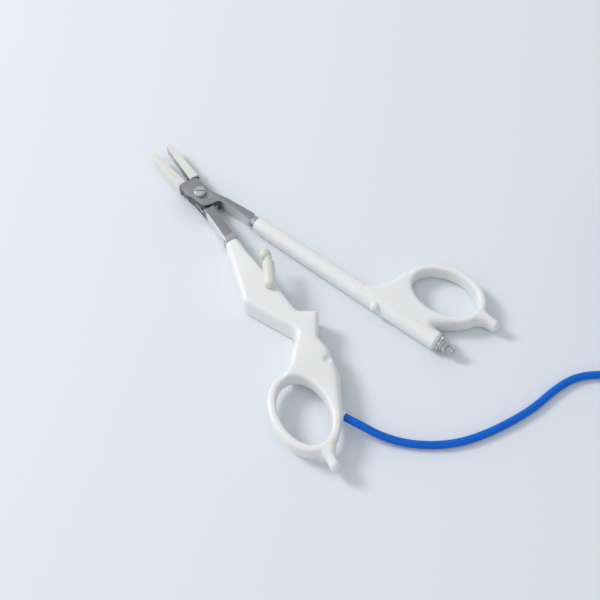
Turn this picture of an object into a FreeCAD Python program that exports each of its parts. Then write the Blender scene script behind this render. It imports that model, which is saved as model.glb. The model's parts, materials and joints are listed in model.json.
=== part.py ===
import FreeCAD, Part
import math
import os
import re
from types import SimpleNamespace

from FreeCAD import Placement, Rotation, Vector

# Vessel sealing instrument: two ring-handled halves that cross at a screw pivot.
# Each half is drawn closed, with its sealing face along X and its jaw towards +X,
# and is then turned about the pivot by half of the opening.
# Origin: pivot axis, on the surface that the instrument lies on. Millimetres.

DRIVING_SIZES = [
    # name, value, what it is
    ("opening_angle", 13.5, "degrees between the two halves as the instrument lies"),
    ("jaw_toe", 1.5, "degrees that each jaw is turned towards the other on its half"),
    ("mid_height", 4.6, "height of the shanks' and the tube's middle"),
    ("shank_height", 6.8, "height of the steel shanks"),
    ("lap_radius", 9.8, "reach of the half-thickness plates round the pivot"),
    ("lap_gap", 0.4, "space between the two plates"),
    ("pivot_radius", 2.0, "pivot screw's shank"),
    ("pin_clearance", 0.05, "radial play of the pivot and of the button's stem"),
    ("bush_wall", 0.6, "insulating bush"),
    ("washer_height", 0.3, "insulating washers"),
    ("washer_radius", 4.2, "insulating washer between the plates"),
    ("head_washer_radius", 2.7, "insulating washer under the screw's head"),
    ("head_radius", 2.8, "pivot screw's head"),
    ("head_height", 1.6, "pivot screw's head"),
    ("slot_width", 0.8, "screwdriver slot"),
    ("slot_depth", 0.7, "screwdriver slot"),
    ("nut_radius", 3.3, "pivot nut"),
    ("jaw_reach", 34.6, "jaw tips ahead of the pivot"),
    ("jaw_root_width", 4.7, "jaw from its sealing face to its back, at the root"),
    ("jaw_tip_width", 3.0, "the same at the tip"),
    ("jaw_height", 5.4, "jaw cover"),
    ("cover_wall", 0.9, "jaw cover's wall"),
    ("seal_gap", 0.15, "half of the gap between the closed sealing plates"),
    ("seal_plate", 0.6, "sealing plate's thickness"),
    ("seal_height", 4.6, "sealing plate's height"),
    ("seal_proud", 0.1, "sealing plate ahead of its cover"),
    ("seal_inset", 0.4, "sealing plate from both ends of its cover"),
    ("shank_width", 4.9, "fixed shank at its handle"),
    ("shank_end", 32.0, "fixed handle's front face behind the pivot"),
    ("tang_width", 3.6, "fixed tang inside its handle"),
    ("tang_height", 5.0, "fixed tang inside its handle"),
    ("tang_length", 26.0, "fixed tang inside its handle"),
    ("ferrule_length", 3.4, "steel sleeve on the fixed shank"),
    ("ferrule_wall", 0.5, "steel sleeve on the fixed shank"),
    ("fit_gap", 0.05, "space round a piece that is held still"),
    ("handle_height", 12.4, "fixed handle's full thickness"),
    ("nose_height", 9.4, "fixed handle's thickness at its front"),
    ("nose_length", 21.0, "stretch over which the nose slopes up"),
    ("shell_wall", 1.8, "handle shells"),
    ("belly_reach", 66.5, "belly corner behind the pivot"),
    ("belly_side", 12.0, "belly corner beside the centre line"),
    ("waist_reach", 92.0, "waist behind the pivot"),
    ("hump_reach", 87.4, "hump's tip behind the pivot"),
    ("hump_side", 14.6, "hump's tip beside the centre line"),
    ("loop_reach", 126.6, "fixed finger hole's centre behind the pivot"),
    ("loop_side", 15.8, "fixed finger hole's centre beside the centre line"),
    ("loop_long", 16.5, "half the fixed finger hole's length"),
    ("loop_wide", 10.8, "half the fixed finger hole's width"),
    ("loop_tilt", -6.0, "degrees"),
    ("loop_wall", 3.8, "bar of the fixed finger loop, seen from above"),
    ("loop_lift", 3.2, "fixed finger loop's lowest face"),
    ("loop_top", 11.4, "fixed finger loop's highest face"),
    ("tail_length", 10.0, "stub behind each loop"),
    ("tail_width", 4.4, "stub behind each loop"),
    ("tube_angle", 8.0, "degrees from the moving sealing face to the tube"),
    ("tube_front", 30.6, "tube's front end behind the pivot"),
    ("tube_side", 9.08, "tube's front end beside the centre line"),
    ("tube_length", 104.6, "tube"),
    ("tube_front_radius", 3.7, "tube at its front end"),
    ("tube_rear_radius", 4.2, "tube where the handle shells begin"),
    ("tube_end_radius", 3.2, "tube inside and behind the handle shells"),
    ("tube_bore", 2.3, "tube's bore, radius"),
    ("tube_shoulder", 58.0, "tube's length ahead of the handle shells"),
    ("tang_rod_length", 24.0, "round tang of the moving shank inside the tube"),
    ("palm_height", 9.2, "moving handle's thickness"),
    ("ring_reach", 119.8, "moving finger hole's centre behind the pivot"),
    ("ring_side", 43.5, "moving finger hole's centre beside the centre line"),
    ("ring_long", 16.0, "half the moving finger hole's length"),
    ("ring_wide", 11.0, "half the moving finger hole's width"),
    ("ring_tilt", 14.0, "degrees"),
    ("ring_wall", 3.6, "bar of the moving finger loop, seen from above"),
    ("latch_radius", 2.5, "latch ball on the tube"),
    ("barrel_radius", 2.8, "switch barrel"),
    ("barrel_length", 13.6, "switch barrel"),
    ("barrel_axis", 14.0, "height of the barrel's axis"),
    ("barrel_reach", 67.6, "barrel's rear end behind the pivot"),
    ("barrel_side", 1.0, "barrel's rear end beside the centre line"),
    ("barrel_angle", -25.6, "degrees from the centre line to the barrel"),
    ("barrel_bore", 1.75, "barrel's bore, radius"),
    ("barrel_floor", 3.6, "barrel's solid rear end"),
    ("button_radius", 2.75, "ball of the switch button"),
    ("button_offset", 1.3, "ball beside the barrel's axis"),
    ("button_travel", 0.8, "press of the switch button"),
    ("press_room", 1.15, "space between the pressed ball and the barrel"),
    ("cord_radius", 1.75, "cord"),
    ("coil_radius", 21.0, "middle of the put-away coil's turns"),
    ("screw_radius", 1.0, "handle screws' shanks"),
    ("screw_head", 1.9, "handle screws' heads, radius"),
    ("slip", 0.1, "running gap above the moving half's plate"),
    ("slot_heading", 53.0, "degrees from X to the screwdriver slot"),
    ("shank_left", 2.1, "fixed shank's left side beside the closed line"),
    ("pin_radius", 1.0, "pin through the fixed tang"),
    ("pin_length", 7.4, "pin through the fixed tang"),
    ("bar_width", 4.3, "moving shank at its rear end"),
    ("collar_length", 2.8, "collar between the moving shank and its tube"),
    ("collar_radius", 3.1, "collar between the moving shank and its tube"),
    ("sleeve_radius", 4.3, "moving handle's sleeve round the tube"),
    ("sleeve_back", 0.4, "tube's end behind the moving handle's sleeve"),
    ("ring_height", 8.7, "moving finger loop's thickness"),
    ("latch_reach", 71.9, "latch ball behind the tube's front end"),
    ("latch_side", 3.4, "latch ball beside the tube's axis"),
    ("latch_rise", 2.0, "latch ball above the tube's axis"),
    ("latch_seat", 0.2, "space between the latch ball and the tube"),
    ("rod_radius", 1.0, "feed rod in the tube"),
    ("spigot_length", 8.0, "end fitting's spigot in the tube"),
    ("flange_radius", 2.5, "end fitting's flange"),
    ("flange_length", 1.4, "end fitting's flange"),
    ("prong_width", 2.4, "prongs of the end fitting's flange"),
    ("prong_span", 7.8, "from tip to tip of the flange's prongs"),
    ("fitting_tilt", -45.0, "degrees from upright to the prongs and ears"),
    ("port_width", 4.3, "end fitting's square body"),
    ("port_length", 3.1, "end fitting's square body"),
    ("groove_width", 3.5, "end fitting's body inside its groove"),
    ("groove_length", 0.7, "groove round the end fitting's body"),
    ("hub_radius", 1.5, "end fitting's hub"),
    ("hub_length", 3.4, "end fitting's hub"),
    ("hub_bore", 0.9, "end fitting's bore, radius"),
    ("rim_radius", 1.95, "rim of the end fitting's hub"),
    ("rim_length", 0.9, "rim of the end fitting's hub"),
    ("ear_width", 1.5, "ears of the hub's rim"),
    ("ear_span", 5.6, "from tip to tip of the rim's ears"),
    ("tube_room", 0.6, "space between the closed tube and the hump's flank"),
    ("dimple_radius", 2.3, "shallow dimple in the fixed handle's top"),
    ("dimple_depth", 1.0, "shallow dimple in the fixed handle's top"),
    ("screw_seat", 3.2, "height of the handle screws' seats"),
    ("screw_length", 6.8, "handle screws' shanks"),
    ("screw_head_height", 1.2, "handle screws' heads"),
    ("boss_radius", 2.6, "screw boss inside the fixed handle"),
    ("foot_start", 0.8, "barrel's foot from its rear end"),
    ("foot_length", 3.6, "barrel's foot"),
    ("foot_width", 2.0, "barrel's foot"),
    ("foot_bottom", 9.8, "height of the foot's lower face"),
    ("contact_height", 0.8, "contact disc at the barrel's floor"),
    ("contact_pin", 0.3, "contact's pin, radius"),
    ("stem_length", 11.2, "button's stem behind the ball's centre"),
    ("exit_back", 9.3, "cord's exit behind the fixed finger hole's centre"),
    ("exit_aside", 14.5, "cord's exit beside the fixed finger hole's centre"),
    ("exit_height", 6.0, "cord's exit"),
    ("exit_heading", 212.4, "degrees from X to the cord's exit"),
    ("bush_radius", 2.4, "cord bush"),
    ("bush_bore", 1.2, "cord bush's bore, radius"),
    ("bush_length", 4.2, "cord bush"),
    ("lead_radius", 0.42, "insulated leads in the fixed handle"),
    ("lead_pitch", 1.0, "height between the two leads"),
    ("lead_start", 4.6, "leads' straight stretch at the cord's exit"),
    ("lead_end", 10.0, "jaw lead's straight stretch at the tang"),
    ("coil_width", 17.5, "bundle of the put-away coil, across"),
    ("coil_height", 16.0, "bundle of the put-away coil, upwards"),
    ("end_length", 9.0, "cord between the coil and the plug"),
    ("relief_length", 10.0, "plug's strain relief"),
    ("relief_radius", 3.2, "plug's strain relief at the plug"),
    ("plug_length", 22.0, "plug"),
    ("plug_width", 28.0, "plug"),
    ("plug_height", 10.0, "plug"),
    ("plug_pin_radius", 2.0, "plug's pins"),
    ("plug_pin_length", 12.0, "plug's pins, outside the plug"),
    ("plug_pin_pitch", 9.0, "between the plug's pins"),
    ("plug_pin_depth", 6.0, "plug's pins, inside the plug"),
    ("plug_pin_root", 1.5, "plug's pins inside the plug, radius"),
]

doc = FreeCAD.newDocument("vessel_sealer")
sheet = doc.addObject("Spreadsheet::Sheet", "Sizes")
for row, (alias, value, note) in enumerate(DRIVING_SIZES, start=1):
    sheet.set(f"A{row}", note)
    sheet.set(f"B{row}", str(value))
    sheet.setAlias(f"B{row}", alias)
doc.recompute()
size = SimpleNamespace(**{alias: float(sheet.get(alias)) for alias, _, _ in DRIVING_SIZES})
NAMES = re.compile(r"\b(" + "|".join(alias for alias, _, _ in DRIVING_SIZES) + r")\b")

UP = Vector(0, 0, 1)
parts = {}


def bind(piece, formulas):
    """Tie properties of an object to formulas over the driving sizes."""
    for name, formula in formulas.items():
        piece.setExpression(name, NAMES.sub(r"Sizes.\1", formula))


def cylinder(radius, height, at=(0, 0, 0), along=UP):
    piece = doc.addObject("Part::Cylinder", "Round")
    bind(piece, {"Radius": radius, "Height": height})
    piece.Placement = Placement(Vector(*at), Rotation(UP, Vector(*along)))
    return piece


def cone(front, rear, height, at, along):
    piece = doc.addObject("Part::Cone", "Taper")
    bind(piece, {"Radius1": front, "Radius2": rear, "Height": height})
    piece.Placement = Placement(Vector(*at), Rotation(UP, Vector(*along)))
    return piece


def ball(radius, at):
    piece = doc.addObject("Part::Sphere", "Ball")
    bind(piece, {"Radius": radius})
    piece.Placement = Placement(Vector(*at), Rotation())
    return piece


def block(length, width, height, corner, turn=Rotation()):
    piece = doc.addObject("Part::Box", "Block")
    bind(piece, {"Length": length, "Width": width, "Height": height})
    piece.Placement = Placement(Vector(*corner), turn)
    return piece


def cut(base, tool):
    piece = doc.addObject("Part::Cut", "Cut")
    piece.Base = base
    piece.Tool = tool
    return piece


def common(base, tool):
    piece = doc.addObject("Part::Common", "Common")
    piece.Base = base
    piece.Tool = tool
    return piece


def fuse(*pieces):
    piece = doc.addObject("Part::MultiFuse", "Fuse")
    piece.Shapes = list(pieces)
    return piece


def rounded(corners):
    """Lines and arcs of a closed outline with the corners (x, y, radius)."""
    places = [Vector(x, y, 0) for x, y, _ in corners]
    stretches = []
    for index, (_, _, radius) in enumerate(corners):
        here = places[index]
        back = places[index - 1] - here
        ahead = places[(index + 1) % len(places)] - here
        half = back.getAngle(ahead) / 2
        setback = min(radius / math.tan(half), 0.48 * back.Length, 0.48 * ahead.Length)
        start = here + back * (setback / back.Length)
        end = here + ahead * (setback / ahead.Length)
        if setback < 0.01:
            stretches.append((here, None, here))
            continue
        inward = back * (1 / back.Length) + ahead * (1 / ahead.Length)
        inward.normalize()
        limited = setback * math.tan(half)
        middle = here + inward * (limited / math.sin(half) - limited)
        stretches.append((start, middle, end))
    edges = []
    for index, (start, middle, end) in enumerate(stretches):
        if middle is not None:
            edges.append(Part.Arc(start, middle, end))
        edges.append(Part.LineSegment(end, stretches[(index + 1) % len(stretches)][0]))
    return edges


def prism(corners, bottom, height):
    """Upright solid over an outline, from a height upwards."""
    sketch = doc.addObject("Sketcher::SketchObject", "Outline")
    sketch.addGeometry(rounded(corners), False)
    piece = doc.addObject("Part::Extrusion", "Prism")
    piece.Base = sketch
    piece.DirMode = "Custom"
    piece.Dir = UP
    piece.Solid = True
    bind(piece, {"LengthFwd": height})
    piece.Placement = Placement(Vector(0, 0, bottom), Rotation())
    return piece


def oval(long, wide, height, at, turn):
    """Upright elliptical solid; turn is in degrees."""
    rim = doc.addObject("Part::Ellipse", "Rim")
    bind(rim, {"MajorRadius": long, "MinorRadius": wide})
    piece = doc.addObject("Part::Extrusion", "Oval")
    piece.Base = rim
    piece.DirMode = "Custom"
    piece.Dir = UP
    piece.Solid = True
    bind(piece, {"LengthFwd": height})
    piece.Placement = Placement(Vector(*at), Rotation(UP, turn))
    return piece


def turned(name, profile, at=(0, 0, 0), along=UP):
    """Body of revolution with the profile (radius, distance along its axis)."""
    body = doc.addObject("PartDesign::Body", name)
    plane = next(f for f in body.Origin.OriginFeatures if f.Role == "XZ_Plane")
    sketch = body.newObject("Sketcher::SketchObject", name + "Profile")
    sketch.AttachmentSupport = [(plane, "")]
    sketch.MapMode = "FlatFace"
    sketch.addGeometry(rounded([(radius, height, 0) for radius, height in profile]), False)
    spin = body.newObject("PartDesign::Revolution", name + "Spin")
    spin.Profile = sketch
    spin.ReferenceAxis = (sketch, ["V_Axis"])
    spin.Angle = 360
    body.Placement = Placement(Vector(*at), Rotation(UP, Vector(*along)))
    return body


def finish(label, piece, turn=0.0):
    """Name a sub-part and turn it about the pivot; turn is in degrees."""
    piece.Label = label
    piece.Placement = Placement(Vector(), Rotation(UP, turn)).multiply(piece.Placement)
    parts[label] = piece


FIXED = -size.opening_angle / 2
MOVING = size.opening_angle / 2

# Heights
shank_bottom = size.mid_height - size.shank_height / 2
shank_top = size.mid_height + size.shank_height / 2
lower_plate_top = size.mid_height - size.lap_gap / 2
upper_plate_bottom = size.mid_height + size.lap_gap / 2
washer_seat = shank_top + size.slip
head_seat = washer_seat + size.washer_height

# Where the jaws start and how far their faces stand off the closed line
jaw_root = size.lap_radius + size.fit_gap + 0.35
cover_face = size.seal_gap + size.seal_plate


def jaw_back(reach):
    """Distance from the closed line to a jaw's back, at a distance from the pivot."""
    share = (reach - jaw_root) / (size.jaw_reach - jaw_root)
    return size.jaw_root_width + share * (size.jaw_tip_width - size.jaw_root_width)


def toed(x, y, side):
    """Point of a jaw in its half's own frame, turned about the pivot towards the other jaw."""
    angle = math.radians(-side * size.jaw_toe)
    return (x * math.cos(angle) - y * math.sin(angle), x * math.sin(angle) + y * math.cos(angle))


def toed_core(side):
    """Jaw's steel spine as it stands on its half."""
    core = jaw_core(side)
    core.Placement = Placement(Vector(), Rotation(UP, -side * size.jaw_toe)).multiply(core.Placement)
    return core


def jaw(name, side, turn):
    """Plastic cover and steel sealing plate; side is +1 left or -1 right of the closed line."""
    cover_front = size.seal_gap + size.seal_proud
    cover_outline = [
        (jaw_root, side * cover_front, 0),
        (jaw_root, side * size.jaw_root_width, 0.6),
        (size.jaw_reach, side * size.jaw_tip_width, 1.6),
        (size.jaw_reach, side * cover_front, 0.5),
    ]
    cover = prism(cover_outline, size.mid_height - size.jaw_height / 2, "jaw_height")
    plate_start = jaw_root + size.seal_inset
    plate_end = size.jaw_reach - size.seal_inset
    inner = side * size.seal_gap
    outer = side * cover_face
    plate_bottom = size.mid_height - size.seal_height / 2
    plate_outline = [
        (plate_start, inner, 0),
        (plate_start, outer, 0),
        (plate_end, outer, 0),
        (plate_end, inner, 0),
    ]
    room_outline = [
        (plate_start - size.fit_gap, 0, 0),
        (plate_start - size.fit_gap, outer, 0),
        (plate_end + size.fit_gap, outer, 0),
        (plate_end + size.fit_gap, 0, 0),
    ]
    room = prism(room_outline, plate_bottom - size.fit_gap, "seal_height + 2 * fit_gap")
    toe_turn = turn - side * size.jaw_toe
    finish(name + "_jaw_cover", cut(cover, fuse(jaw_core(side), room)), toe_turn)
    finish(name + "_sealing_plate", prism(plate_outline, plate_bottom, "seal_height"), toe_turn)


def jaw_core(side):
    """Steel spine inside a jaw cover, with its root inside the lap plate."""
    inner = cover_face + size.cover_wall / 2
    tip = size.jaw_reach - 5.1
    core_outline = [
        (jaw_root - 4.0, side * inner, 0),
        (jaw_root - 4.0, side * (size.jaw_root_width - size.cover_wall), 0),
        (jaw_root, side * (size.jaw_root_width - size.cover_wall), 0),
        (tip, side * (jaw_back(tip) - size.cover_wall), 0.3),
        (tip, side * inner, 0),
    ]
    bottom = size.mid_height - size.jaw_height / 2 + size.cover_wall
    return prism(core_outline, bottom, "jaw_height - 2 * cover_wall")


# Pivot: screw, nut, insulating bush and washers
screw_end = shank_bottom / 3
pivot_screw = turned(
    "PivotScrew",
    [
        (0, screw_end),
        (size.pivot_radius, screw_end),
        (size.pivot_radius, head_seat),
        (size.head_radius, head_seat),
        (size.head_radius, head_seat + size.head_height * 0.7),
        (size.head_radius * 0.8, head_seat + size.head_height),
        (0, head_seat + size.head_height),
    ],
)
slot_corner = (-size.head_radius, -size.slot_width / 2, head_seat + size.head_height - size.slot_depth)
screw_slot = block("2 * head_radius", "slot_width", "slot_depth * 2", slot_corner)
screw_slot.Placement = Placement(Vector(), Rotation(UP, size.slot_heading)).multiply(screw_slot.Placement)
finish("pivot_screw", cut(pivot_screw, screw_slot))

pivot_nut = turned(
    "PivotNut",
    [
        (0, 0),
        (size.nut_radius - 0.4, 0),
        (size.nut_radius, 0.4),
        (size.nut_radius, shank_bottom),
        (size.pivot_radius + size.fit_gap, shank_bottom),
        (size.pivot_radius + size.fit_gap, screw_end),
        (0, screw_end),
    ],
)
finish("pivot_nut", pivot_nut, FIXED)

bush = cylinder("pivot_radius + fit_gap + bush_wall", "shank_height + slip", (0, 0, shank_bottom))
bush_bore = cylinder("pivot_radius + fit_gap", "shank_height + slip", (0, 0, shank_bottom))
finish("pivot_bush", cut(bush, bush_bore), FIXED)

for label, radius, hole, seat in (
    ("lap_washer", "washer_radius", "pivot_radius + bush_wall + 2 * fit_gap", lower_plate_top),
    ("head_washer", "head_washer_radius", "pivot_radius + fit_gap", washer_seat),
):
    washer = cylinder(radius, "washer_height", (0, 0, seat))
    finish(label, cut(washer, cylinder(hole, "washer_height", (0, 0, seat))), FIXED)


def lap_bore():
    radius = "pivot_radius + fit_gap + bush_wall + pin_clearance"
    return cylinder(radius, "shank_height", (0, 0, shank_bottom))


# Fixed half: right jaw, lower plate, flat shank and tang
shank_right = size.shank_left - size.shank_width
shank_back = -size.shank_end
fixed_plan = [
    toed(jaw_root, -cover_face, -1) + (0,),
    toed(jaw_root, 0.2 - size.jaw_root_width, -1) + (0.5,),
    (8.4, -4.3, 0.8),
    (5.8, -4.0, 2),
    (2.2, -4.3, 3),
    (-3.0, -4.7, 3),
    (-8.0, -3.2, 3),
    (-11.1, -2.0, 2),
    (-19.5, -2.5, 20),
    (-25.0, shank_right, 6),
    (shank_back, shank_right, 0),
    (shank_back, size.shank_left, 0),
    (-27.5, size.shank_left, 20),
    (-19.1, 2.4, 20),
    (-6.4, 3.3, 20),
    (-1.5, 4.0, 5),
    (3.0, 5.2, 2),
    (6.0, 4.6, 1.5),
    (8.5, 2.0, 1.5),
    (8.8, -cover_face, 0),
]
fixed_bar = prism(fixed_plan, shank_bottom, "shank_height")
tang_corner = (shank_back - size.tang_length, -size.tang_width / 2, size.mid_height - size.tang_height / 2)
tang = block("tang_length + 1", "tang_width", "tang_height", tang_corner)
fixed_steel = fuse(fixed_bar, toed_core(-1), tang)
upper_room = cylinder("lap_radius", "shank_height", (0, 0, lower_plate_top))
tang_pin_x = shank_back - size.tang_length / 2
tang_hole = cylinder("pin_radius + fit_gap", "tang_height", (tang_pin_x, 0, tang_corner[2]))
finish("fixed_shank", cut(fixed_steel, fuse(upper_room, lap_bore(), tang_hole)), FIXED)
jaw("fixed", -1, FIXED)

ferrule_corner = (
    shank_back,
    shank_right - size.ferrule_wall,
    shank_bottom - size.ferrule_wall,
)
ferrule = block(
    "ferrule_length", "shank_width + 2 * ferrule_wall", "shank_height + 2 * ferrule_wall", ferrule_corner
)
ferrule_core_corner = (shank_back, shank_right - size.fit_gap, shank_bottom - size.fit_gap)
ferrule_core = block(
    "ferrule_length", "shank_width + 2 * fit_gap", "shank_height + 2 * fit_gap", ferrule_core_corner
)
finish("fixed_ferrule", cut(ferrule, ferrule_core), FIXED)

# Moving half: left jaw, upper plate, bent shank and round tang along the tube
tube_heading = math.radians(180 + size.tube_angle)
tube_way = Vector(math.cos(tube_heading), math.sin(tube_heading), 0)
tube_left = Vector(-tube_way.y, tube_way.x, 0) * -1
tube_start = Vector(-size.tube_front, -size.tube_side, size.mid_height)


def on_tube(distance, left=0.0, rise=0.0):
    """Place beside the tube's axis, measured from its front end."""
    place = tube_start + tube_way * distance + tube_left * left
    return (place.x, place.y, place.z + rise)


bar_half = size.bar_width / 2
bar_end_left = on_tube(-size.collar_length, bar_half)
bar_end_right = on_tube(-size.collar_length, -bar_half)
moving_plan = [
    toed(jaw_root, cover_face, 1) + (0,),
    toed(jaw_root, size.jaw_root_width - 0.2, 1) + (0.5,),
    (6.0, 4.9, 2),
    (3.6, 5.6, 1.5),
    (0.8, 4.6, 3),
    (-5.4, 4.1, 2),
    (-7.3, 3.2, 1.5),
    (-8.7, 0.5, 2),
    (-9.2, -2.6, 1),
    (-10.6, -4.1, 1.5),
    (-15.8, -5.2, 12),
    (-22.5, -6.3, 12),
    (bar_end_left[0], bar_end_left[1], 0),
    (bar_end_right[0], bar_end_right[1], 0),
    (-23.2, -9.9, 12),
    (-11.6, -7.6, 20),
    (-3.3, -4.8, 6),
    (2.7, -4.8, 10),
    (6.8, -5.4, 2),
    (8.4, -4.6, 1),
    (9.3, -2.5, 1),
    (8.8, cover_face, 0),
]
moving_bar = prism(moving_plan, shank_bottom, "shank_height")
tang_rod_start = on_tube(-size.collar_length - 0.5)
tang_rod = cylinder(
    "tube_bore - fit_gap", "collar_length + tang_rod_length + 0.5", tang_rod_start, tube_way
)
moving_steel = fuse(moving_bar, toed_core(1), tang_rod)
lower_room = cylinder("lap_radius", "shank_height", (0, 0, upper_plate_bottom - size.shank_height))
finish("moving_shank", cut(moving_steel, fuse(lower_room, lap_bore())), MOVING)
jaw("moving", 1, MOVING)

collar = cylinder("collar_radius", "collar_length", on_tube(-size.collar_length), tube_way)
collar_bore = cylinder("tube_bore", "collar_length", on_tube(-size.collar_length), tube_way)
finish("moving_collar", cut(collar, collar_bore), MOVING)

# Tube, with a thinner rear end inside its handle
tube_front_part = cone(
    "tube_front_radius", "tube_rear_radius", "tube_shoulder", on_tube(0), tube_way
)
tube_body = cylinder("tube_end_radius", "tube_length", on_tube(0), tube_way)
tube_lumen = cylinder("tube_bore", "tube_length", on_tube(0), tube_way)
finish("moving_tube", cut(fuse(tube_front_part, tube_body), tube_lumen), MOVING)

# Latch ball, seated on the tube in a round hole of the handle's sleeve
latch_place = on_tube(size.latch_reach, size.latch_side, size.latch_rise)
tube_clear = cylinder("tube_end_radius + fit_gap", "tube_length", on_tube(0), tube_way)
latch_room_start = on_tube(size.latch_reach - 2 * size.latch_radius)
latch_room = cylinder("tube_end_radius + latch_seat", "4 * latch_radius", latch_room_start, tube_way)
latch_ball = ball("latch_radius", latch_place)
latch_ball.Placement.Rotation = Rotation(UP, tube_left * size.latch_side + UP * size.latch_rise)
finish("latch_ball", cut(latch_ball, latch_room), MOVING)

# Moving handle: sleeve on the tube, web, finger ring and stub
sleeve_length = "tube_length - tube_shoulder - sleeve_back"
sleeve = cylinder("sleeve_radius", sleeve_length, on_tube(size.tube_shoulder), tube_way)
ring_place = (-size.ring_reach, -size.ring_side)


def beside_tube(distance, left, radius):
    """Corner of an outline beside the tube's axis."""
    return on_tube(distance, left)[:2] + (radius,)


web_plan = [
    beside_tube(size.tube_shoulder + 5.1, -0.6, 1),
    beside_tube(size.tube_length - 21.0, 1.1, 2),
    beside_tube(size.tube_length - 7.1, -1.4, 1),
    beside_tube(size.tube_length - 5.9, -5.5, 1.5),
    (ring_place[0] - 13.6, ring_place[1] + 7.5, 3),
    ring_place + (0,),
    (ring_place[0] + 18.6, ring_place[1] + 5.5, 3),
    (ring_place[0] + 20.8, ring_place[1] + 13.7, 5),
    beside_tube(size.tube_shoulder + 8.4, -5.1, 6),
]
web = prism(web_plan, 0, "palm_height")
ring_outer = oval(
    "ring_long + ring_wall", "ring_wide + ring_wall", "ring_height", ring_place + (0,), size.ring_tilt
)
ring_hole = oval("ring_long", "ring_wide", "2 * palm_height", ring_place + (-1,), size.ring_tilt)


def stub(root, heading, height, thickness):
    """Rounded stub behind a finger loop; heading is in degrees."""
    way = Vector(math.cos(math.radians(heading)), math.sin(math.radians(heading)), 0)
    aside = Vector(-way.y, way.x, 0) * (size.tail_width / 2)
    tip = Vector(root[0], root[1], 0) + way * size.tail_length
    base = Vector(root[0], root[1], 0) - way * 2
    stub_plan = [
        (base.x + 2 * aside.x, base.y + 2 * aside.y, 0),
        (base.x - 2 * aside.x, base.y - 2 * aside.y, 0),
        (tip.x - aside.x, tip.y - aside.y, 2),
        (tip.x + aside.x, tip.y + aside.y, 2),
    ]
    return prism(stub_plan, height, thickness)


ring_tail = stub((-size.ring_reach - 18.2, -size.ring_side - 3.3), 191, 0, "ring_height")
palm = fuse(sleeve, web, ring_outer, ring_tail)
palm_room = fuse(ring_hole, tube_clear, ball("latch_radius + fit_gap", latch_place))
finish("moving_handle", cut(palm, palm_room), MOVING)

# Feed rod in the tube, from the tang to the end fitting
rod_length = "tube_length - tang_rod_length - spigot_length"
finish("feed_rod", cylinder("rod_radius", rod_length, on_tube(size.tang_rod_length), tube_way), MOVING)

# End fitting: flange with prongs and a spigot in the tube, square body and hub with two ears
fitting_start = size.tube_length


def across_tube(length, width, span, distance, tilt):
    """Block centred on the tube's axis, with its span tilted from upright; tilt is in degrees."""
    piece = doc.addObject("Part::Box", "Across")
    bind(piece, {"Length": length, "Width": width, "Height": span})
    turn = Rotation(UP, 180 + size.tube_angle).multiply(Rotation(Vector(1, 0, 0), tilt))
    middle = Vector(0, getattr(size, width) / 2, getattr(size, span) / 2)
    piece.Placement = Placement(Vector(*on_tube(distance)) - turn.multVec(middle), turn)
    return piece


flange_disc = turned(
    "PortFlange",
    [
        (0, -size.spigot_length),
        (size.tube_bore - size.fit_gap, -size.spigot_length),
        (size.tube_bore - size.fit_gap, 0),
        (size.flange_radius, 0),
        (size.flange_radius, size.flange_length),
        (0, size.flange_length),
    ],
    on_tube(fitting_start),
    tube_way,
)
prongs = across_tube("flange_length", "prong_width", "prong_span", fitting_start, size.fitting_tilt)
finish("port_flange", fuse(flange_disc, prongs), MOVING)

port_start = fitting_start + size.flange_length
port_block = across_tube("port_length", "port_width", "port_width", port_start, 0)
groove_start = port_start + (size.port_length - size.groove_length) / 2
groove = cut(
    cylinder("port_width", "groove_length", on_tube(groove_start), tube_way),
    across_tube("groove_length", "groove_width", "groove_width", groove_start, 0),
)
finish("port_body", cut(port_block, groove), MOVING)

hub_start = port_start + size.port_length
rim_start = hub_start + size.hub_length - size.rim_length
hub = fuse(
    cylinder("hub_radius", "hub_length", on_tube(hub_start), tube_way),
    cylinder("rim_radius", "rim_length", on_tube(rim_start), tube_way),
    across_tube("rim_length", "ear_width", "ear_span", rim_start, size.fitting_tilt),
)
hub_bore = cylinder("hub_bore", "hub_length", on_tube(hub_start + 0.8), tube_way)
finish("port_hub", cut(hub, hub_bore), MOVING)

# Fixed handle: one outline, split in two shells at half its height
loop_place = (-size.loop_reach, size.loop_side)
belly = (-size.belly_reach, size.belly_side)
grip_plan = [
    (shank_back, 3.3, 1.5),
    belly + (3.5,),
    (-size.waist_reach, -1.4, 5),
    (-size.waist_reach - 5.5, 4.5, 5),
    (loop_place[0] + 22.1, loop_place[1] - 5.3, 4),
    (loop_place[0] + 20.1, loop_place[1] - 0.8, 0),
    loop_place + (0,),
    (loop_place[0] - 16.4, loop_place[1] - 5.8, 0),
    (loop_place[0] - 16.9, loop_place[1] - 6.8, 4),
    (loop_place[0] - 10.9, loop_place[1] - 13.2, 12),
    (loop_place[0] + 8.6, loop_place[1] - 23.0, 18),
    (-size.hump_reach - 17.1, 5.7 - size.hump_side, 8),
    (-size.hump_reach - 11.6, 7.0 - size.hump_side, 2),
    (-size.hump_reach, -size.hump_side, 1.5),
    (-size.hump_reach + 5.1, 8.3 - size.hump_side, 2),
    (shank_back - 12.0, -3.0, 20),
    (shank_back, -3.0, 1.5),
]
grip_block = prism(grip_plan, 0, "handle_height")
loop_turn = size.loop_tilt
loop_bottom_place = loop_place + (size.loop_lift,)
loop_outer = oval(
    "loop_long + loop_wall", "loop_wide + loop_wall", "loop_top - loop_lift", loop_bottom_place, loop_turn
)
loop_hole = oval("loop_long", "loop_wide", "2 * handle_height", loop_place + (-1,), loop_turn)
loop_tail = stub(
    (-size.loop_reach - 20.0, size.loop_side + 0.3), 175, size.loop_lift, "loop_top - loop_lift"
)

SPAN = 120.0
FAR = 200.0


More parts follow.
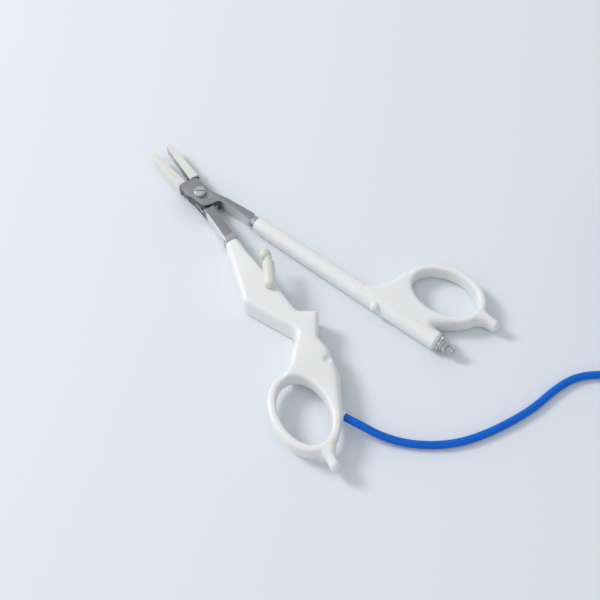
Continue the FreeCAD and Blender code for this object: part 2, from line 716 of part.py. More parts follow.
def side_prism(corners):
    """Solid right across the handle over an outline (x, z) seen from the side."""
    sketch = doc.addObject("Sketcher::SketchObject", "SideOutline")
    sketch.addGeometry(rounded([(x, z, 0) for x, z in corners]), False)
    piece = doc.addObject("Part::Extrusion", "SidePrism")
    piece.Base = sketch
    piece.DirMode = "Custom"
    piece.Dir = UP
    piece.Solid = True
    piece.LengthFwd = SPAN
    piece.Placement = Placement(Vector(0, SPAN / 2, 0), Rotation(Vector(1, 0, 0), 90))
    return piece


nose_back = shank_back - size.nose_length
above = size.handle_height + 8
nose_cut = side_prism(
    [
        (shank_back + 1, size.nose_height),
        (nose_back, size.handle_height),
        (nose_back, above),
        (shank_back + 1, above),
    ]
)
under_front = -size.waist_reach - 8
under_back = under_front - 12
loop_under = side_prism(
    [(under_front, -1), (under_front, 0), (under_back, size.loop_lift), (-FAR, size.loop_lift), (-FAR, -1)]
)
loop_over = side_prism(
    [
        (under_front - 4, above),
        (under_front - 4, size.handle_height),
        (under_back - 4, size.loop_top),
        (-FAR, size.loop_top),
        (-FAR, above),
    ]
)
flank = cylinder(
    "sleeve_radius + tube_room", sleeve_length + " + 16", on_tube(size.tube_shoulder - 8), tube_way
)
dimple_floor = size.loop_top + 0.5 - size.dimple_depth
dimple_place = (loop_place[0] + 17.1, loop_place[1] - 21.8, dimple_floor)
dimple = cylinder("dimple_radius", "2 * dimple_depth", dimple_place)

# Where the cord leaves the handle
exit_turn = math.radians(size.exit_heading)
exit_way = Vector(math.cos(exit_turn), math.sin(exit_turn), 0)
exit_place = Vector(loop_place[0] - size.exit_back, loop_place[1] - size.exit_aside, size.exit_height)


def on_exit(distance, rise=0.0):
    """Place on the cord's line at the handle, outwards from its exit."""
    place = exit_place + exit_way * distance
    return (place.x, place.y, place.z + rise)


# Room inside the fixed handle for the leads, with screw bosses left standing
waist = -size.waist_reach
chamber_plan = [
    (shank_back - size.tang_length - 1, -2.9, 0.5),
    (shank_back - size.tang_length - 1, 8.0, 1),
    (belly[0] + 0.5, belly[1] - 2.4, 2),
    (waist + 1.5, -3.4, 3),
    (waist - 5.0, 1.6, 2),
    (waist - 7.0, 1.6, 0),
    (waist - 7.0, -5.4, 0.5),
    (waist - 2.2, 6.0 - size.hump_side, 1.5),
    (-size.hump_reach - 0.6, 4.2 - size.hump_side, 1.5),
    (-size.hump_reach + 1.1, 5.4 - size.hump_side, 1),
    (-size.hump_reach + 4.1, 9.7 - size.hump_side, 1.5),
]
chamber = prism(chamber_plan, size.shell_wall, "handle_height - 2 * shell_wall")
neck_plan = [
    (waist - 6.0, 1.6, 0),
    (waist - 12.0, 2.4, 2),
    (exit_place.x + 9.3, exit_place.y + 1.8, 3),
    (exit_place.x + 4.0, exit_place.y + 3.1, 0.4),
    (exit_place.x + 4.0, exit_place.y + 0.7, 0.4),
    (exit_place.x + 7.4, exit_place.y - 0.5, 2),
    (loop_place[0] + 9.1, loop_place[1] - 20.6, 6),
    (waist - 12.8, 7.8 - size.hump_side, 5),
    (waist - 6.0, -4.6, 0),
]
neck = prism(neck_plan, size.loop_lift + size.shell_wall, "loop_top - loop_lift - 2 * shell_wall")
between = (waist - 5.5 + loop_place[0] + 22.1) / 2
screw_places = [(belly[0] - 1.0, belly[1] - 6.5), (between - 3.0, loop_place[1] - 10.0)]
bosses = fuse(*[cylinder("boss_radius", "handle_height", place + (0,)) for place in screw_places])
room_inside = cut(fuse(chamber, neck), bosses)

# Holes for the tang, its pin, the screws and the cord bush
tang_room_corner = (
    shank_back - size.tang_length - 1.5,
    -size.tang_width / 2 - size.fit_gap,
    size.mid_height - size.tang_height / 2 - size.fit_gap,
)
tang_room = block(
    "tang_length + 3", "tang_width + 2 * fit_gap", "tang_height + 2 * fit_gap", tang_room_corner
)
pin_bottom = size.mid_height - size.pin_length / 2
pin_hole_place = (tang_pin_x, 0, pin_bottom - size.fit_gap)
pin_hole = cylinder("pin_radius + fit_gap", "pin_length + 2 * fit_gap", pin_hole_place)
finish("tang_pin", cylinder("pin_radius", "pin_length", (tang_pin_x, 0, pin_bottom)), FIXED)

screw_holes = []
for place, label in zip(screw_places, ("handle_screw_front", "handle_screw_rear")):
    head_low = size.screw_seat - size.screw_head_height
    shank = cylinder("screw_radius", "screw_length + 0.5", place + (size.screw_seat - 0.5,))
    head = cylinder("screw_head", "screw_head_height", place + (head_low,))
    socket = cylinder("screw_head * 0.45", "screw_head_height * 0.6", place + (head_low,))
    finish(label, cut(fuse(shank, head), socket), FIXED)
    thread_low = place + (size.screw_seat - 0.9,)
    screw_holes.append(cylinder("screw_head + fit_gap", "screw_seat + 1", place + (-1,)))
    screw_holes.append(cylinder("screw_radius + fit_gap", "screw_length + 1", thread_low))

bush_room_start = on_exit(-size.bush_length - size.fit_gap)
bush_room = cylinder("bush_radius + fit_gap", "bush_length + 8", bush_room_start, exit_way)
lead_passage = cylinder("bush_bore", "bush_length + 1.8", on_exit(-size.bush_length - 1.8), exit_way)
bush_ring = cylinder("bush_radius", "bush_length", on_exit(-size.bush_length), exit_way)
bush_lumen = cylinder("bush_bore", "bush_length", on_exit(-size.bush_length), exit_way)
finish("cord_bush", cut(bush_ring, bush_lumen), FIXED)

# Switch barrel on the handle's top, with its foot in a slot of the top shell
barrel_turn = Rotation(UP, size.barrel_angle)
barrel_way = barrel_turn.multVec(Vector(1, 0, 0))
barrel_left = barrel_turn.multVec(Vector(0, 1, 0))
barrel_rear = Vector(-size.barrel_reach, -size.barrel_side, size.barrel_axis)


def on_barrel(distance, left=0.0, rise=0.0):
    """Place beside the barrel's axis, measured from its rear end."""
    place = barrel_rear + barrel_way * distance + barrel_left * left
    return (place.x, place.y, place.z + rise)


def barrel_shape(room):
    """Barrel and foot, larger all round by the named clearance where room is given."""
    more = " + fit_gap" if room else ""
    twice = " + 2 * fit_gap" if room else ""
    gap = size.fit_gap if room else 0.0
    dome_place = on_barrel(size.barrel_radius)
    body = cylinder("barrel_radius" + more, "barrel_length - barrel_radius" + more, dome_place, barrel_way)
    dome = ball("barrel_radius" + more, dome_place)
    foot_drop = size.foot_bottom - size.barrel_axis
    foot_corner = on_barrel(size.foot_start - gap, -size.foot_width / 2 - gap, foot_drop)
    foot = block(
        "foot_length" + twice, "foot_width" + twice, "barrel_axis - foot_bottom", foot_corner, barrel_turn
    )
    return fuse(body, dome, foot)


contact_at = size.barrel_floor + size.contact_height / 2
bore = cylinder("barrel_bore", "barrel_length", on_barrel(size.barrel_floor), barrel_way)
contact_drop = "barrel_axis - foot_bottom"
contact_foot = on_barrel(contact_at, 0, size.foot_bottom - size.barrel_axis)
contact_hole = cylinder("contact_pin + fit_gap", contact_drop, contact_foot)
finish("switch_barrel", cut(barrel_shape(False), fuse(bore, contact_hole)), FIXED)
contact_disc = cylinder("barrel_bore - fit_gap", "contact_height", on_barrel(size.barrel_floor), barrel_way)
finish("switch_contact", fuse(contact_disc, cylinder("contact_pin", contact_drop, contact_foot)), FIXED)

ball_at = size.barrel_length + size.button_radius + size.button_travel + size.press_room
stem_end = ball_at - size.stem_length
stem = cylinder("barrel_bore - pin_clearance", "stem_length", on_barrel(stem_end), barrel_way)
button_ball = ball("button_radius", on_barrel(ball_at, size.button_offset))
finish("switch_button", fuse(stem, button_ball), FIXED)

spring_start = size.barrel_floor + size.contact_height
stem_place = "barrel_length + button_radius + button_travel + press_room - stem_length"
spring_length = stem_place + " - barrel_floor - contact_height"
spring = cylinder("barrel_bore - 3 * fit_gap", spring_length, on_barrel(spring_start), barrel_way)
spring_core = cylinder("barrel_bore * 0.6", spring_length, on_barrel(spring_start), barrel_way)
finish("switch_spring", cut(spring, spring_core), FIXED)

# Fixed handle shells
grip = cut(
    fuse(grip_block, loop_outer, loop_tail),
    fuse(nose_cut, loop_under, loop_over, flank, dimple, loop_hole),
)
hollow_grip = cut(
    grip,
    fuse(room_inside, tang_room, pin_hole, bush_room, lead_passage, barrel_shape(True), *screw_holes),
)
half_height = size.handle_height / 2
lower_half = block(str(FAR), str(SPAN), "handle_height / 2 + 1", (-FAR, -SPAN / 2, -1))
upper_half = block(str(FAR), str(SPAN), "handle_height / 2 + 1", (-FAR, -SPAN / 2, half_height))
finish("handle_shell_bottom", common(hollow_grip, lower_half), FIXED)
finish("handle_shell_top", common(hollow_grip, upper_half), FIXED)


def bent_path(points):
    """Straight runs joined by arcs as large as the runs allow, with the arcs' radii."""
    places = [Vector(*point) for point in points]
    edges = []
    radii = []
    start = places[0]
    for before, here, after in zip(places, places[1:], places[2:]):
        back = before - here
        ahead = after - here
        half_turn = (math.pi - back.getAngle(ahead)) / 2
        setback = 0.45 * min(back.Length, ahead.Length)
        radius = setback / math.tan(half_turn)
        radii.append(radius)
        arc_start = here + back * (setback / back.Length)
        arc_end = here + ahead * (setback / ahead.Length)
        inward = back * (1 / back.Length) + ahead * (1 / ahead.Length)
        inward.normalize()
        arc_middle = here + inward * (radius / math.cos(half_turn) - radius)
        edges.append(Part.LineSegment(start, arc_start).toShape())
        edges.append(Part.Arc(arc_start, arc_middle, arc_end).toShape())
        start = arc_end
    edges.append(Part.LineSegment(start, places[-1]).toShape())
    return Part.Wire(edges), radii


def bent_tube(label, points, radius, turn=0.0):
    """Round tube along a bent path."""
    path, radii = bent_path(points)
    way = Vector(*points[1]) - Vector(*points[0])
    ring = Part.Wire([Part.Circle(Vector(*points[0]), way, radius).toShape()])
    solid = path.makePipeShell([ring], True, True)
    piece = doc.addObject("Part::Feature", label)
    piece.Shape = solid
    ideal = math.pi * radius**2 * path.Length
    print(label, "length", round(path.Length, 1), "least radius", round(min(radii), 1))
    print("  volume over section times length", round(solid.Volume / ideal, 4))
    finish(label, piece, turn)


# Leads from the cord to the fixed tang and to the switch
tang_back = shank_back - size.tang_length
loop_bend = (exit_place.x + 11.9, exit_place.y - 1.0)
waist_bend = (waist - 6.0, -2.0)
low_bend = (waist + 3.0, -4.3)
lead_bends = [
    loop_bend,
    ((loop_bend[0] + waist_bend[0]) / 2 + 2.0, waist_bend[1] - 0.4),
    waist_bend,
    low_bend,
    ((low_bend[0] + tang_back - size.lead_end) / 2 + 0.5, low_bend[1] + 2.9),
]
low_lead = size.exit_height - size.lead_pitch / 2
high_lead = size.exit_height + size.lead_pitch / 2
jaw_lead_route = [on_exit(0, -size.lead_pitch / 2), on_exit(-size.lead_start, -size.lead_pitch / 2)]
jaw_lead_route += [(x, y, low_lead) for x, y in lead_bends]
jaw_lead_route += [(tang_back - size.lead_end, 0.0, low_lead), (tang_back, 0.0, low_lead)]
bent_tube("jaw_lead", jaw_lead_route, size.lead_radius, FIXED)
switch_lead_route = [on_exit(0, size.lead_pitch / 2), on_exit(-size.lead_start, size.lead_pitch / 2)]
switch_lead_route += [(x, y, high_lead) for x, y in lead_bends]
switch_lead_route += [
    (contact_foot[0] - 6.5, contact_foot[1] + 1.1, high_lead),
    (contact_foot[0] - 1.6, contact_foot[1] + 0.2, high_lead + 0.4),
    (contact_foot[0], contact_foot[1], size.foot_bottom - 1.4),
    contact_foot,
]
bent_tube("switch_lead", switch_lead_route, size.lead_radius, FIXED)

# Cord: from the bush down to the table and along it to the put-away coil
lie = size.cord_radius
turn_fixed = Rotation(UP, FIXED)
cord_start = turn_fixed.multVec(exit_place)
cord_way = turn_fixed.multVec(exit_way)
cord_route = [
    tuple(cord_start),
    tuple(cord_start + cord_way * 7.0),
    (-149.6, 8.4, 2.9),
    (-159.4, 0.8, lie),
    (-168.0, -10.0, lie),
    (-173.0, -21.5, lie),
    (-176.0, -35.5, lie),
    (-178.4, -52.0, lie),
    (-178.0, -66.5, lie),
    (-180.0, -78.5, lie),
    (-188.6, -91.0, lie),
    (-196.6, -102.2, lie),
    (-204.4, -111.6, lie),
]
bent_tube("cord", cord_route, size.cord_radius)

# Put-away coil: outer shape of its bundle of turns, with the cord's end leaving along X
coil_place = (-199.0, -139.5)
coil_outer = cylinder("coil_radius + coil_width / 2", "coil_height", coil_place + (0,))
coil_eye = cylinder("coil_radius - coil_width / 2", "coil_height", coil_place + (0,))
finish("cord_coil", cut(coil_outer, coil_eye))

plug_line = coil_place[1] - size.coil_radius
plug_middle = size.plug_height / 2
bundle_edge = math.sqrt((size.coil_radius + size.coil_width / 2) ** 2 - size.coil_radius**2)
end_start = coil_place[0] + bundle_edge - size.cord_radius
ALONG = Vector(1, 0, 0)
cord_end = cylinder("cord_radius", "end_length", (end_start, plug_line, plug_middle), ALONG)
finish("cord_end", cord_end)

relief_start = end_start + size.end_length
relief = cone(
    "cord_radius + 0.8", "relief_radius", "relief_length", (relief_start, plug_line, plug_middle), ALONG
)
finish("plug_relief", relief)
plug_start = relief_start + size.relief_length
plug_corner = (plug_start, plug_line - size.plug_width / 2, 0)
plug_block = block("plug_length", "plug_width", "plug_height", plug_corner)
plug_face = plug_start + size.plug_length
pin_rooms = []
for index, label in enumerate(("plug_pin_left", "plug_pin_middle", "plug_pin_right")):
    pin_line = plug_line + (1 - index) * size.plug_pin_pitch
    root_place = (plug_face - size.plug_pin_depth, pin_line, plug_middle)
    pin_root = cylinder("plug_pin_root", "plug_pin_depth + 1", root_place, ALONG)
    pin_out = cylinder("plug_pin_radius", "plug_pin_length", (plug_face, pin_line, plug_middle), ALONG)
    finish(label, fuse(pin_root, pin_out))
    pin_rooms.append(cylinder("plug_pin_root", "plug_pin_depth", root_place, ALONG))
finish("plug_body", cut(plug_block, fuse(*pin_rooms)))

doc.recompute()
for item in doc.Objects:
    if {"Invalid", "Error"} & set(item.State):
        raise RuntimeError(f"{item.Name} ({item.Label}) did not compute: {item.State}")
os.makedirs("parts", exist_ok=True)
for label, piece in parts.items():
    if piece.Shape.isNull() or not piece.Shape.isValid():
        raise RuntimeError(f"{label} has no valid shape")
for label, piece in parts.items():
    solids = len(piece.Shape.Solids)
    print(f"{label}: solids {solids}, volume {piece.Shape.Volume:.1f}")
    piece.Shape.exportStep(f"parts/{label}.step")
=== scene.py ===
"""Vessel sealing instrument: moulded handles, steel halves, switch, cord, light and camera.

The pivot's axis is the origin, the jaws point along +X and the instrument lies on the plane
Z = 0. Sizes of pieces are in millimetres, those of materials, lamps, table and camera in metres.
Each half is drawn in its own closed frame, and Half turns it to where the photograph shows it.
"""
from __future__ import annotations

import json
import logging
import math
from dataclasses import dataclass, field
from enum import Enum
from functools import cached_property
from typing import Callable, Sequence

import bmesh
import bpy
import numpy as np
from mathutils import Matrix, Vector
from mathutils.geometry import delaunay_2d_cdt

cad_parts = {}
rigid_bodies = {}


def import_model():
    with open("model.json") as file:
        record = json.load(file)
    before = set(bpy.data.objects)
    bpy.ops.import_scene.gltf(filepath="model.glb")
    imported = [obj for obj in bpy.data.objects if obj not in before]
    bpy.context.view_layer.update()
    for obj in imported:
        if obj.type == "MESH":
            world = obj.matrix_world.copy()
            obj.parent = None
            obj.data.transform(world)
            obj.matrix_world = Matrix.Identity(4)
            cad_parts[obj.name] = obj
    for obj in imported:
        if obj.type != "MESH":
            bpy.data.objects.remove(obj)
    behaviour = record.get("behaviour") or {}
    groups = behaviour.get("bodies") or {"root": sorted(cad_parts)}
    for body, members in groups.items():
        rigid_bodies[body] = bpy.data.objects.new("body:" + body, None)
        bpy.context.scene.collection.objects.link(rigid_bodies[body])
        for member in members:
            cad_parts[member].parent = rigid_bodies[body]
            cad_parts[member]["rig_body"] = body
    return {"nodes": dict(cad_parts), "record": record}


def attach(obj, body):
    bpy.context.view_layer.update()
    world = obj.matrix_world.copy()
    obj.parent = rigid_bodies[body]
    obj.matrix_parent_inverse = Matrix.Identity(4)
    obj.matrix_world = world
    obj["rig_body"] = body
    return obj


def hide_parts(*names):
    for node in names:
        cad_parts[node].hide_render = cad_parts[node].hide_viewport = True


MM = 0.001
OPENING = 13.5
RELIEF_HEIGHT = 0.0002
MERGE = 2e-6
CAD_MERGE = 1e-6
OUTLINE_STEP = 0.6
CORNER_POINTS = 12
CORNER_SHARE = 0.48
RIM_POINTS = 8
RUN_POINTS = 40
VOXEL = 0.45
SOFTENING = 8
SMOOTH_ALL = 180.0
SHARP_EDGE = 35.0
EASED_FROM = 28.0
FLAT_WITHIN = 1.0
UP = np.array([0.0, 0.0, 1.0])
LOG = logging.getLogger("instrument")

Spot = tuple[float, float]
Triple = tuple[float, float, float]
Colour = tuple[float, float, float]
Corner = tuple[float, float, float]
Faces = list[list[int]]
Surface = tuple[np.ndarray, Faces]
Height = Callable[[np.ndarray], np.ndarray]
Material = bpy.types.Material
Socket = bpy.types.NodeSocket

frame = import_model()


class Half(Enum):
    """The instrument's two halves, with the angle in degrees that each is turned by at rest."""

    FIXED = -OPENING / 2
    MOVING = OPENING / 2

    @property
    def body(self) -> str:
        """Name of the body that the half's pieces ride on."""
        return "fixed_half" if self is Half.FIXED else "moving_half"

    def place(self, points: np.ndarray) -> np.ndarray:
        """Turn points about the pivot from the half's own closed frame.

        Args:
            points: array of places in millimetres, with x, y and z in the last axis.

        Returns:
            The same places in metres, as the instrument lies.
        """
        angle = math.radians(self.value)
        turned = np.array(points, float)
        x, y = turned[..., 0].copy(), turned[..., 1].copy()
        turned[..., 0] = x * math.cos(angle) - y * math.sin(angle)
        turned[..., 1] = x * math.sin(angle) + y * math.cos(angle)
        return turned * MM


class Graph:
    """Short ways to build one node tree."""

    def __init__(self, tree: bpy.types.NodeTree) -> None:
        """Keep the tree that is built."""
        self.tree = tree

    def add(
        self, kind: str, inputs: dict[str | int, object] | None = None, **values: object
    ) -> bpy.types.Node:
        """Add a node.

        Args:
            kind: the node's type.
            inputs: what each input gets, by its name or number: a socket to join, or a value.
            values: the node's own properties, which are set first.

        Returns:
            The new node.
        """
        node = self.tree.nodes.new(kind)
        for name, value in values.items():
            setattr(node, name, value)
        self.feed(node, inputs or {})
        return node

    def feed(self, node: bpy.types.Node, inputs: dict[str | int, object]) -> None:
        """Join or set a node's inputs.

        Args:
            node: the node.
            inputs: what each input gets, by its name or number: a socket to join, or a value.
        """
        for name, value in inputs.items():
            if isinstance(value, Socket):
                self.tree.links.new(value, node.inputs[name])
            else:
                node.inputs[name].default_value = value


class Coating(Graph):
    """The node tree of one material, with its surface shader and the place on the piece."""

    def __init__(self, name: str) -> None:
        """Start the material.

        Args:
            name: the material's name.
        """
        self.material = bpy.data.materials.new(name)
        self.material.use_nodes = True
        super().__init__(self.material.node_tree)
        self.tree.nodes.clear()
        self.shader = self.add("ShaderNodeBsdfPrincipled")
        self.add("ShaderNodeOutputMaterial", {"Surface": self.shader.outputs["BSDF"]})
        self.place = self.add("ShaderNodeTexCoord").outputs["Object"]

    def darken(self, colour: Socket, share: Socket, dark: Colour) -> Socket:
        """Mix a dark colour into another.

        Args:
            colour: the colour to darken.
            share: how much of the dark colour each place gets.
            dark: the dark colour.

        Returns:
            The darkened colour.
        """
        inputs = {"Factor": share, "A": colour, "B": (*dark, 1)}
        return self.add("ShaderNodeMix", inputs, data_type="RGBA").outputs["Result"]


def variation_group() -> bpy.types.NodeTree:
    """Build the effect that all finishes share: slow and fine variation of a surface.

    Returns:
        A node group with the inputs Place, Scale, Fine, Stretch, Colour, Shade, Roughness,
        Spread and Depth, and the outputs Colour, Roughness and Normal.
    """
    tree = bpy.data.node_groups.new("surface_variation", "ShaderNodeTree")
    vector, number, colour = "NodeSocketVector", "NodeSocketFloat", "NodeSocketColor"
    taken = {"Place": vector, "Scale": number, "Fine": number, "Stretch": vector, "Colour": colour}
    taken |= {"Shade": colour, "Roughness": number, "Spread": number, "Depth": number}
    put_out = {"Colour": colour, "Roughness": number, "Normal": vector}
    for side, sockets in (("INPUT", taken), ("OUTPUT", put_out)):
        for name, kind in sockets.items():
            tree.interface.new_socket(name, in_out=side, socket_type=kind)
    graph = Graph(tree)
    given = graph.add("NodeGroupInput").outputs
    place = graph.add(
        "ShaderNodeVectorMath", {0: given["Place"], 1: given["Stretch"]}, operation="MULTIPLY"
    ).outputs["Vector"]
    slow, fine = [
        graph.add(
            "ShaderNodeTexNoise", {"Vector": place, "Scale": given[scale], "Detail": detail}
        ).outputs["Fac"]
        for scale, detail in (("Scale", 2.0), ("Fine", 3.0))
    ]
    tint = graph.add(
        "ShaderNodeMix",
        {"Factor": slow, "A": given["Colour"], "B": given["Shade"]},
        data_type="RGBA",
    )
    centred = graph.add("ShaderNodeMath", {0: fine, 1: 0.5}, operation="SUBTRACT").outputs[0]
    rough = graph.add(
        "ShaderNodeMath",
        {0: centred, 1: given["Spread"], 2: given["Roughness"]},
        operation="MULTIPLY_ADD",
    )
    bump = graph.add(
        "ShaderNodeBump", {"Strength": given["Depth"], "Height": fine, "Distance": RELIEF_HEIGHT}
    )
    results = {"Colour": tint.outputs["Result"], "Roughness": rough.outputs[0]}
    graph.add("NodeGroupOutput", {**results, "Normal": bump.outputs["Normal"]})
    return tree


VARIATION = variation_group()


@dataclass(frozen=True)
class Finish:
    """A finish whose colour drifts to a shade, and whose roughness and relief vary finely.

    spread is how far the roughness strays, depth is the strength of the relief, scale and fine
    are how close the slow and the fine patches lie, and stretch draws them out.
    """

    name: str
    colour: Colour
    shade: Colour
    roughness: float = 0.34
    depth: float = 0.06
    scale: float = 45.0
    fine: float = 2600.0
    stretch: Triple = (1.0, 1.0, 1.0)
    spread: float = 0.12

    @cached_property
    def material(self) -> Material:
        """The material, which is made when it is first asked for.

        Returns:
            The material, with the shared variation joined to its surface shader.
        """
        coating = Coating(self.name)
        inputs = {
            "Place": self.grain_place(coating),
            "Scale": self.scale,
            "Fine": self.fine,
            "Stretch": self.stretch,
            "Colour": (*self.colour, 1),
            "Shade": (*self.shade, 1),
            "Roughness": self.roughness,
            "Spread": self.spread,
            "Depth": self.depth,
        }
        varied = coating.add("ShaderNodeGroup", inputs, node_tree=VARIATION).outputs
        surface = {"Base Color": self.marks_and_painted_shade(coating, varied["Colour"])}
        surface |= {"Roughness": varied["Roughness"], "Normal": varied["Normal"]}
        coating.feed(coating.shader, {**surface, **self.constants()})
        return coating.material

    def grain_place(self, coating: Coating) -> Socket:
        """Place that the variation follows."""
        return coating.place

    def marks_and_painted_shade(self, coating: Coating, colour: Socket) -> Socket:
        """Colour with the finish's own marks, or with painted shade."""
        return colour

    def constants(self) -> dict[str, object]:
        """Values of the surface shader that are the same all over the piece."""
        return {}


@dataclass(frozen=True)
class Plastic(Finish):
    """Moulded plastic: soft gloss, faint mottling, and a parting line where it has one."""

    glow: float = 0.0
    shine: float = 0.5
    parting: float | None = None
    parting_width: float = 0.00006
    parting_strength: float = 0.28
    parting_colour: Colour = (0.32, 0.33, 0.35)

    def marks_and_painted_shade(self, coating: Coating, colour: Socket) -> Socket:
        """Darken a hair line at the parting height.

        Args:
            coating: the material being built.
            colour: the colour to darken.

        Returns:
            The darkened colour, or the given one where the piece has no parting.
        """
        if self.parting is None:
            return colour
        split = coating.add("ShaderNodeSeparateXYZ", {0: coating.place})
        line = {0: split.outputs["Z"], 1: self.parting, 2: self.parting_width}
        near = coating.add("ShaderNodeMath", line, operation="COMPARE").outputs[0]
        faint = coating.add(
            "ShaderNodeMath", {0: near, 1: self.parting_strength}, operation="MULTIPLY"
        )
        return coating.darken(colour, faint.outputs[0], self.parting_colour)

    def constants(self) -> dict[str, object]:
        """Values of a plastic's skin and of the light that enters it.

        Returns:
            The shader's inputs by name.
        """
        return {
            "IOR": 1.48,
            "Specular IOR Level": self.shine,
            "Coat Weight": 0.24 * self.shine,
            "Coat Roughness": 0.22,
            "Subsurface Weight": self.glow,
            "Subsurface Radius": (1.0, 0.9, 0.8),
            "Subsurface Scale": 0.0015,
        }


@dataclass(frozen=True)
class Steel(Finish):
    """Metal with fine lines along the piece and slight smears in its roughness.

    heading is the lines' direction in degrees. The last three fields paint shade round the pivot's
    axis, where the lapped plates meet: the distances from the axis at which it starts to fade and
    ends, its strength and its colour.
    """

    scale: float = 130.0
    fine: float = 2200.0
    stretch: Triple = (0.07, 1.0, 1.0)
    spread: float = 0.22
    heading: float = 0.0
    metal: float = 1.0
    pivot_painted_shade: Spot | None = None
    pivot_painted_shade_strength: float = 0.88
    pivot_painted_shade_colour: Colour = (0.03, 0.03, 0.034)

    def grain_place(self, coating: Coating) -> Socket:
        """Turn the place so that the lines follow the piece.

        Args:
            coating: the material being built.

        Returns:
            The turned place.
        """
        turn = (0, 0, -math.radians(self.heading))
        inputs = {"Vector": coating.place, "Rotation": turn}
        return coating.add("ShaderNodeMapping", inputs, vector_type="POINT").outputs["Vector"]

    def marks_and_painted_shade(self, coating: Coating, colour: Socket) -> Socket:
        """Paint shade on the metal round the pivot's axis, where the ground walls of the lap meet.

        Args:
            coating: the material being built.
            colour: the colour to darken.

        Returns:
            The colour with painted shade, or the given one where the piece has none.
        """
        if self.pivot_painted_shade is None:
            return colour
        # Painted shade: the colour darkens towards the pivot's axis and fades out between the two
        # distances.
        level = {0: coating.place, 1: (1.0, 1.0, 0.0)}
        flat = coating.add("ShaderNodeVectorMath", level, operation="MULTIPLY").outputs["Vector"]
        away = coating.add("ShaderNodeVectorMath", {0: flat}, operation="LENGTH")
        start, end = self.pivot_painted_shade
        fade = {"Value": away.outputs["Value"], "From Min": start, "From Max": end}
        fade |= {"To Min": self.pivot_painted_shade_strength, "To Max": 0.0}
        share = coating.add("ShaderNodeMapRange", fade, interpolation_type="SMOOTHSTEP")
        return coating.darken(colour, share.outputs["Result"], self.pivot_painted_shade_colour)

    def constants(self) -> dict[str, object]:
        """How metallic the surface is."""
        return {"Metallic": self.metal}


WHITE = ((0.825, 0.82, 0.815), (0.80, 0.80, 0.80))
HANDLE = Plastic("handle_plastic", *WHITE, roughness=0.36, depth=0.05, glow=0.06)
SHELL = Plastic("handle_shell_plastic", *WHITE, roughness=0.36, depth=0.05, glow=0.06, parting=0.0062)
JAW = Plastic(
    "jaw_plastic", (0.78, 0.765, 0.735), (0.73, 0.715, 0.68), roughness=0.42, depth=0.05, glow=0.10
)
BARREL = Plastic(
    "barrel_plastic", (0.73, 0.715, 0.665), (0.69, 0.675, 0.62), roughness=0.42, depth=0.06, glow=0.05
)
BUTTON = Plastic(
    "button_plastic", (0.68, 0.74, 0.63), (0.60, 0.66, 0.55), roughness=0.30, depth=0.04, glow=0.25
)
JACKET = Plastic(
    "cord_jacket", (0.0, 0.135, 0.66), (0.0, 0.115, 0.58), roughness=0.5, depth=0.10, shine=0.2
)
RELIEF = Plastic("relief_rubber", (0.0, 0.10, 0.52), (0.0, 0.08, 0.44), roughness=0.55, depth=0.2)
PLUG = Plastic("plug_plastic", (0.02, 0.10, 0.42), (0.015, 0.08, 0.36), roughness=0.45, depth=0.12)
RED_LEAD = Plastic("lead_red", (0.55, 0.05, 0.05), (0.45, 0.04, 0.04), roughness=0.45, depth=0.1)
WHITE_LEAD = Plastic("lead_white", (0.75, 0.75, 0.74), (0.68, 0.68, 0.67), roughness=0.45, depth=0.1)

GREY = ((0.43, 0.43, 0.44), (0.34, 0.34, 0.355))
SATIN = Steel("satin_steel", *GREY, roughness=0.36, depth=0.35, heading=Half.FIXED.value)
BENT_SATIN = Steel("bent_satin_steel", *GREY, roughness=0.36, depth=0.35, heading=15.0)
# Lighter, less metallic copy of the satin steel for the shanks' side walls: painted reflection of the
# bright table. It also carries painted shade round the pivot's axis.
SIDE_STEEL_PAINTED_LIGHT = Steel(
    "side_steel_painted_light",
    (0.80, 0.80, 0.81),
    (0.68, 0.68, 0.70),
    roughness=0.42,
    depth=0.12,
    metal=0.4,
    # Painted shade round the pivot: it fades out between these distances from the axis, in metres.
    pivot_painted_shade=(0.0105, 0.0145),
)
SCREW = Steel(
    "screw_steel", (0.60, 0.60, 0.60), (0.52, 0.52, 0.53), roughness=0.36, depth=0.1, metal=0.65
)
FERRULE = Steel(
    "ferrule_steel", (0.56, 0.56, 0.565), (0.48, 0.48, 0.49), roughness=0.36, depth=0.15, metal=0.8
)
SEAL = Steel(
    "seal_steel", (0.55, 0.55, 0.56), (0.46, 0.46, 0.48), roughness=0.34, depth=0.12, metal=0.7
)
BRIGHT = Steel("bright_steel", (0.62, 0.62, 0.63), (0.52, 0.52, 0.54), roughness=0.2, depth=0.1)
PLATED = Steel(
    "plated_brass", (0.66, 0.66, 0.65), (0.50, 0.50, 0.50), roughness=0.14, depth=0.08, heading=14.75
)

SLOT_FINISHES = {
    "handle_plastic": HANDLE,
    "jaw_plastic": JAW,
    "barrel_plastic": BARREL,
    "button_plastic": BUTTON,
    "brushed_steel": SATIN,
    "seal_steel": SEAL,
    "spring_steel": BRIGHT,
    "plated_brass": PLATED,
    "cord_blue": JACKET,
    "blue_rubber": RELIEF,
    "lead_red": RED_LEAD,
    "lead_white": WHITE_LEAD,
    "plug_plastic": PLUG,
}


def show(name: str, data: bpy.types.ID) -> bpy.types.Object:
    """Put an object with the given data in the scene.

    Args:
        name: the object's name.
        data: its mesh, curve, lamp or camera.

    Returns:
        The new object.
    """
    thing = bpy.data.objects.new(name, data)
    bpy.context.scene.collection.objects.link(thing)
    return thing


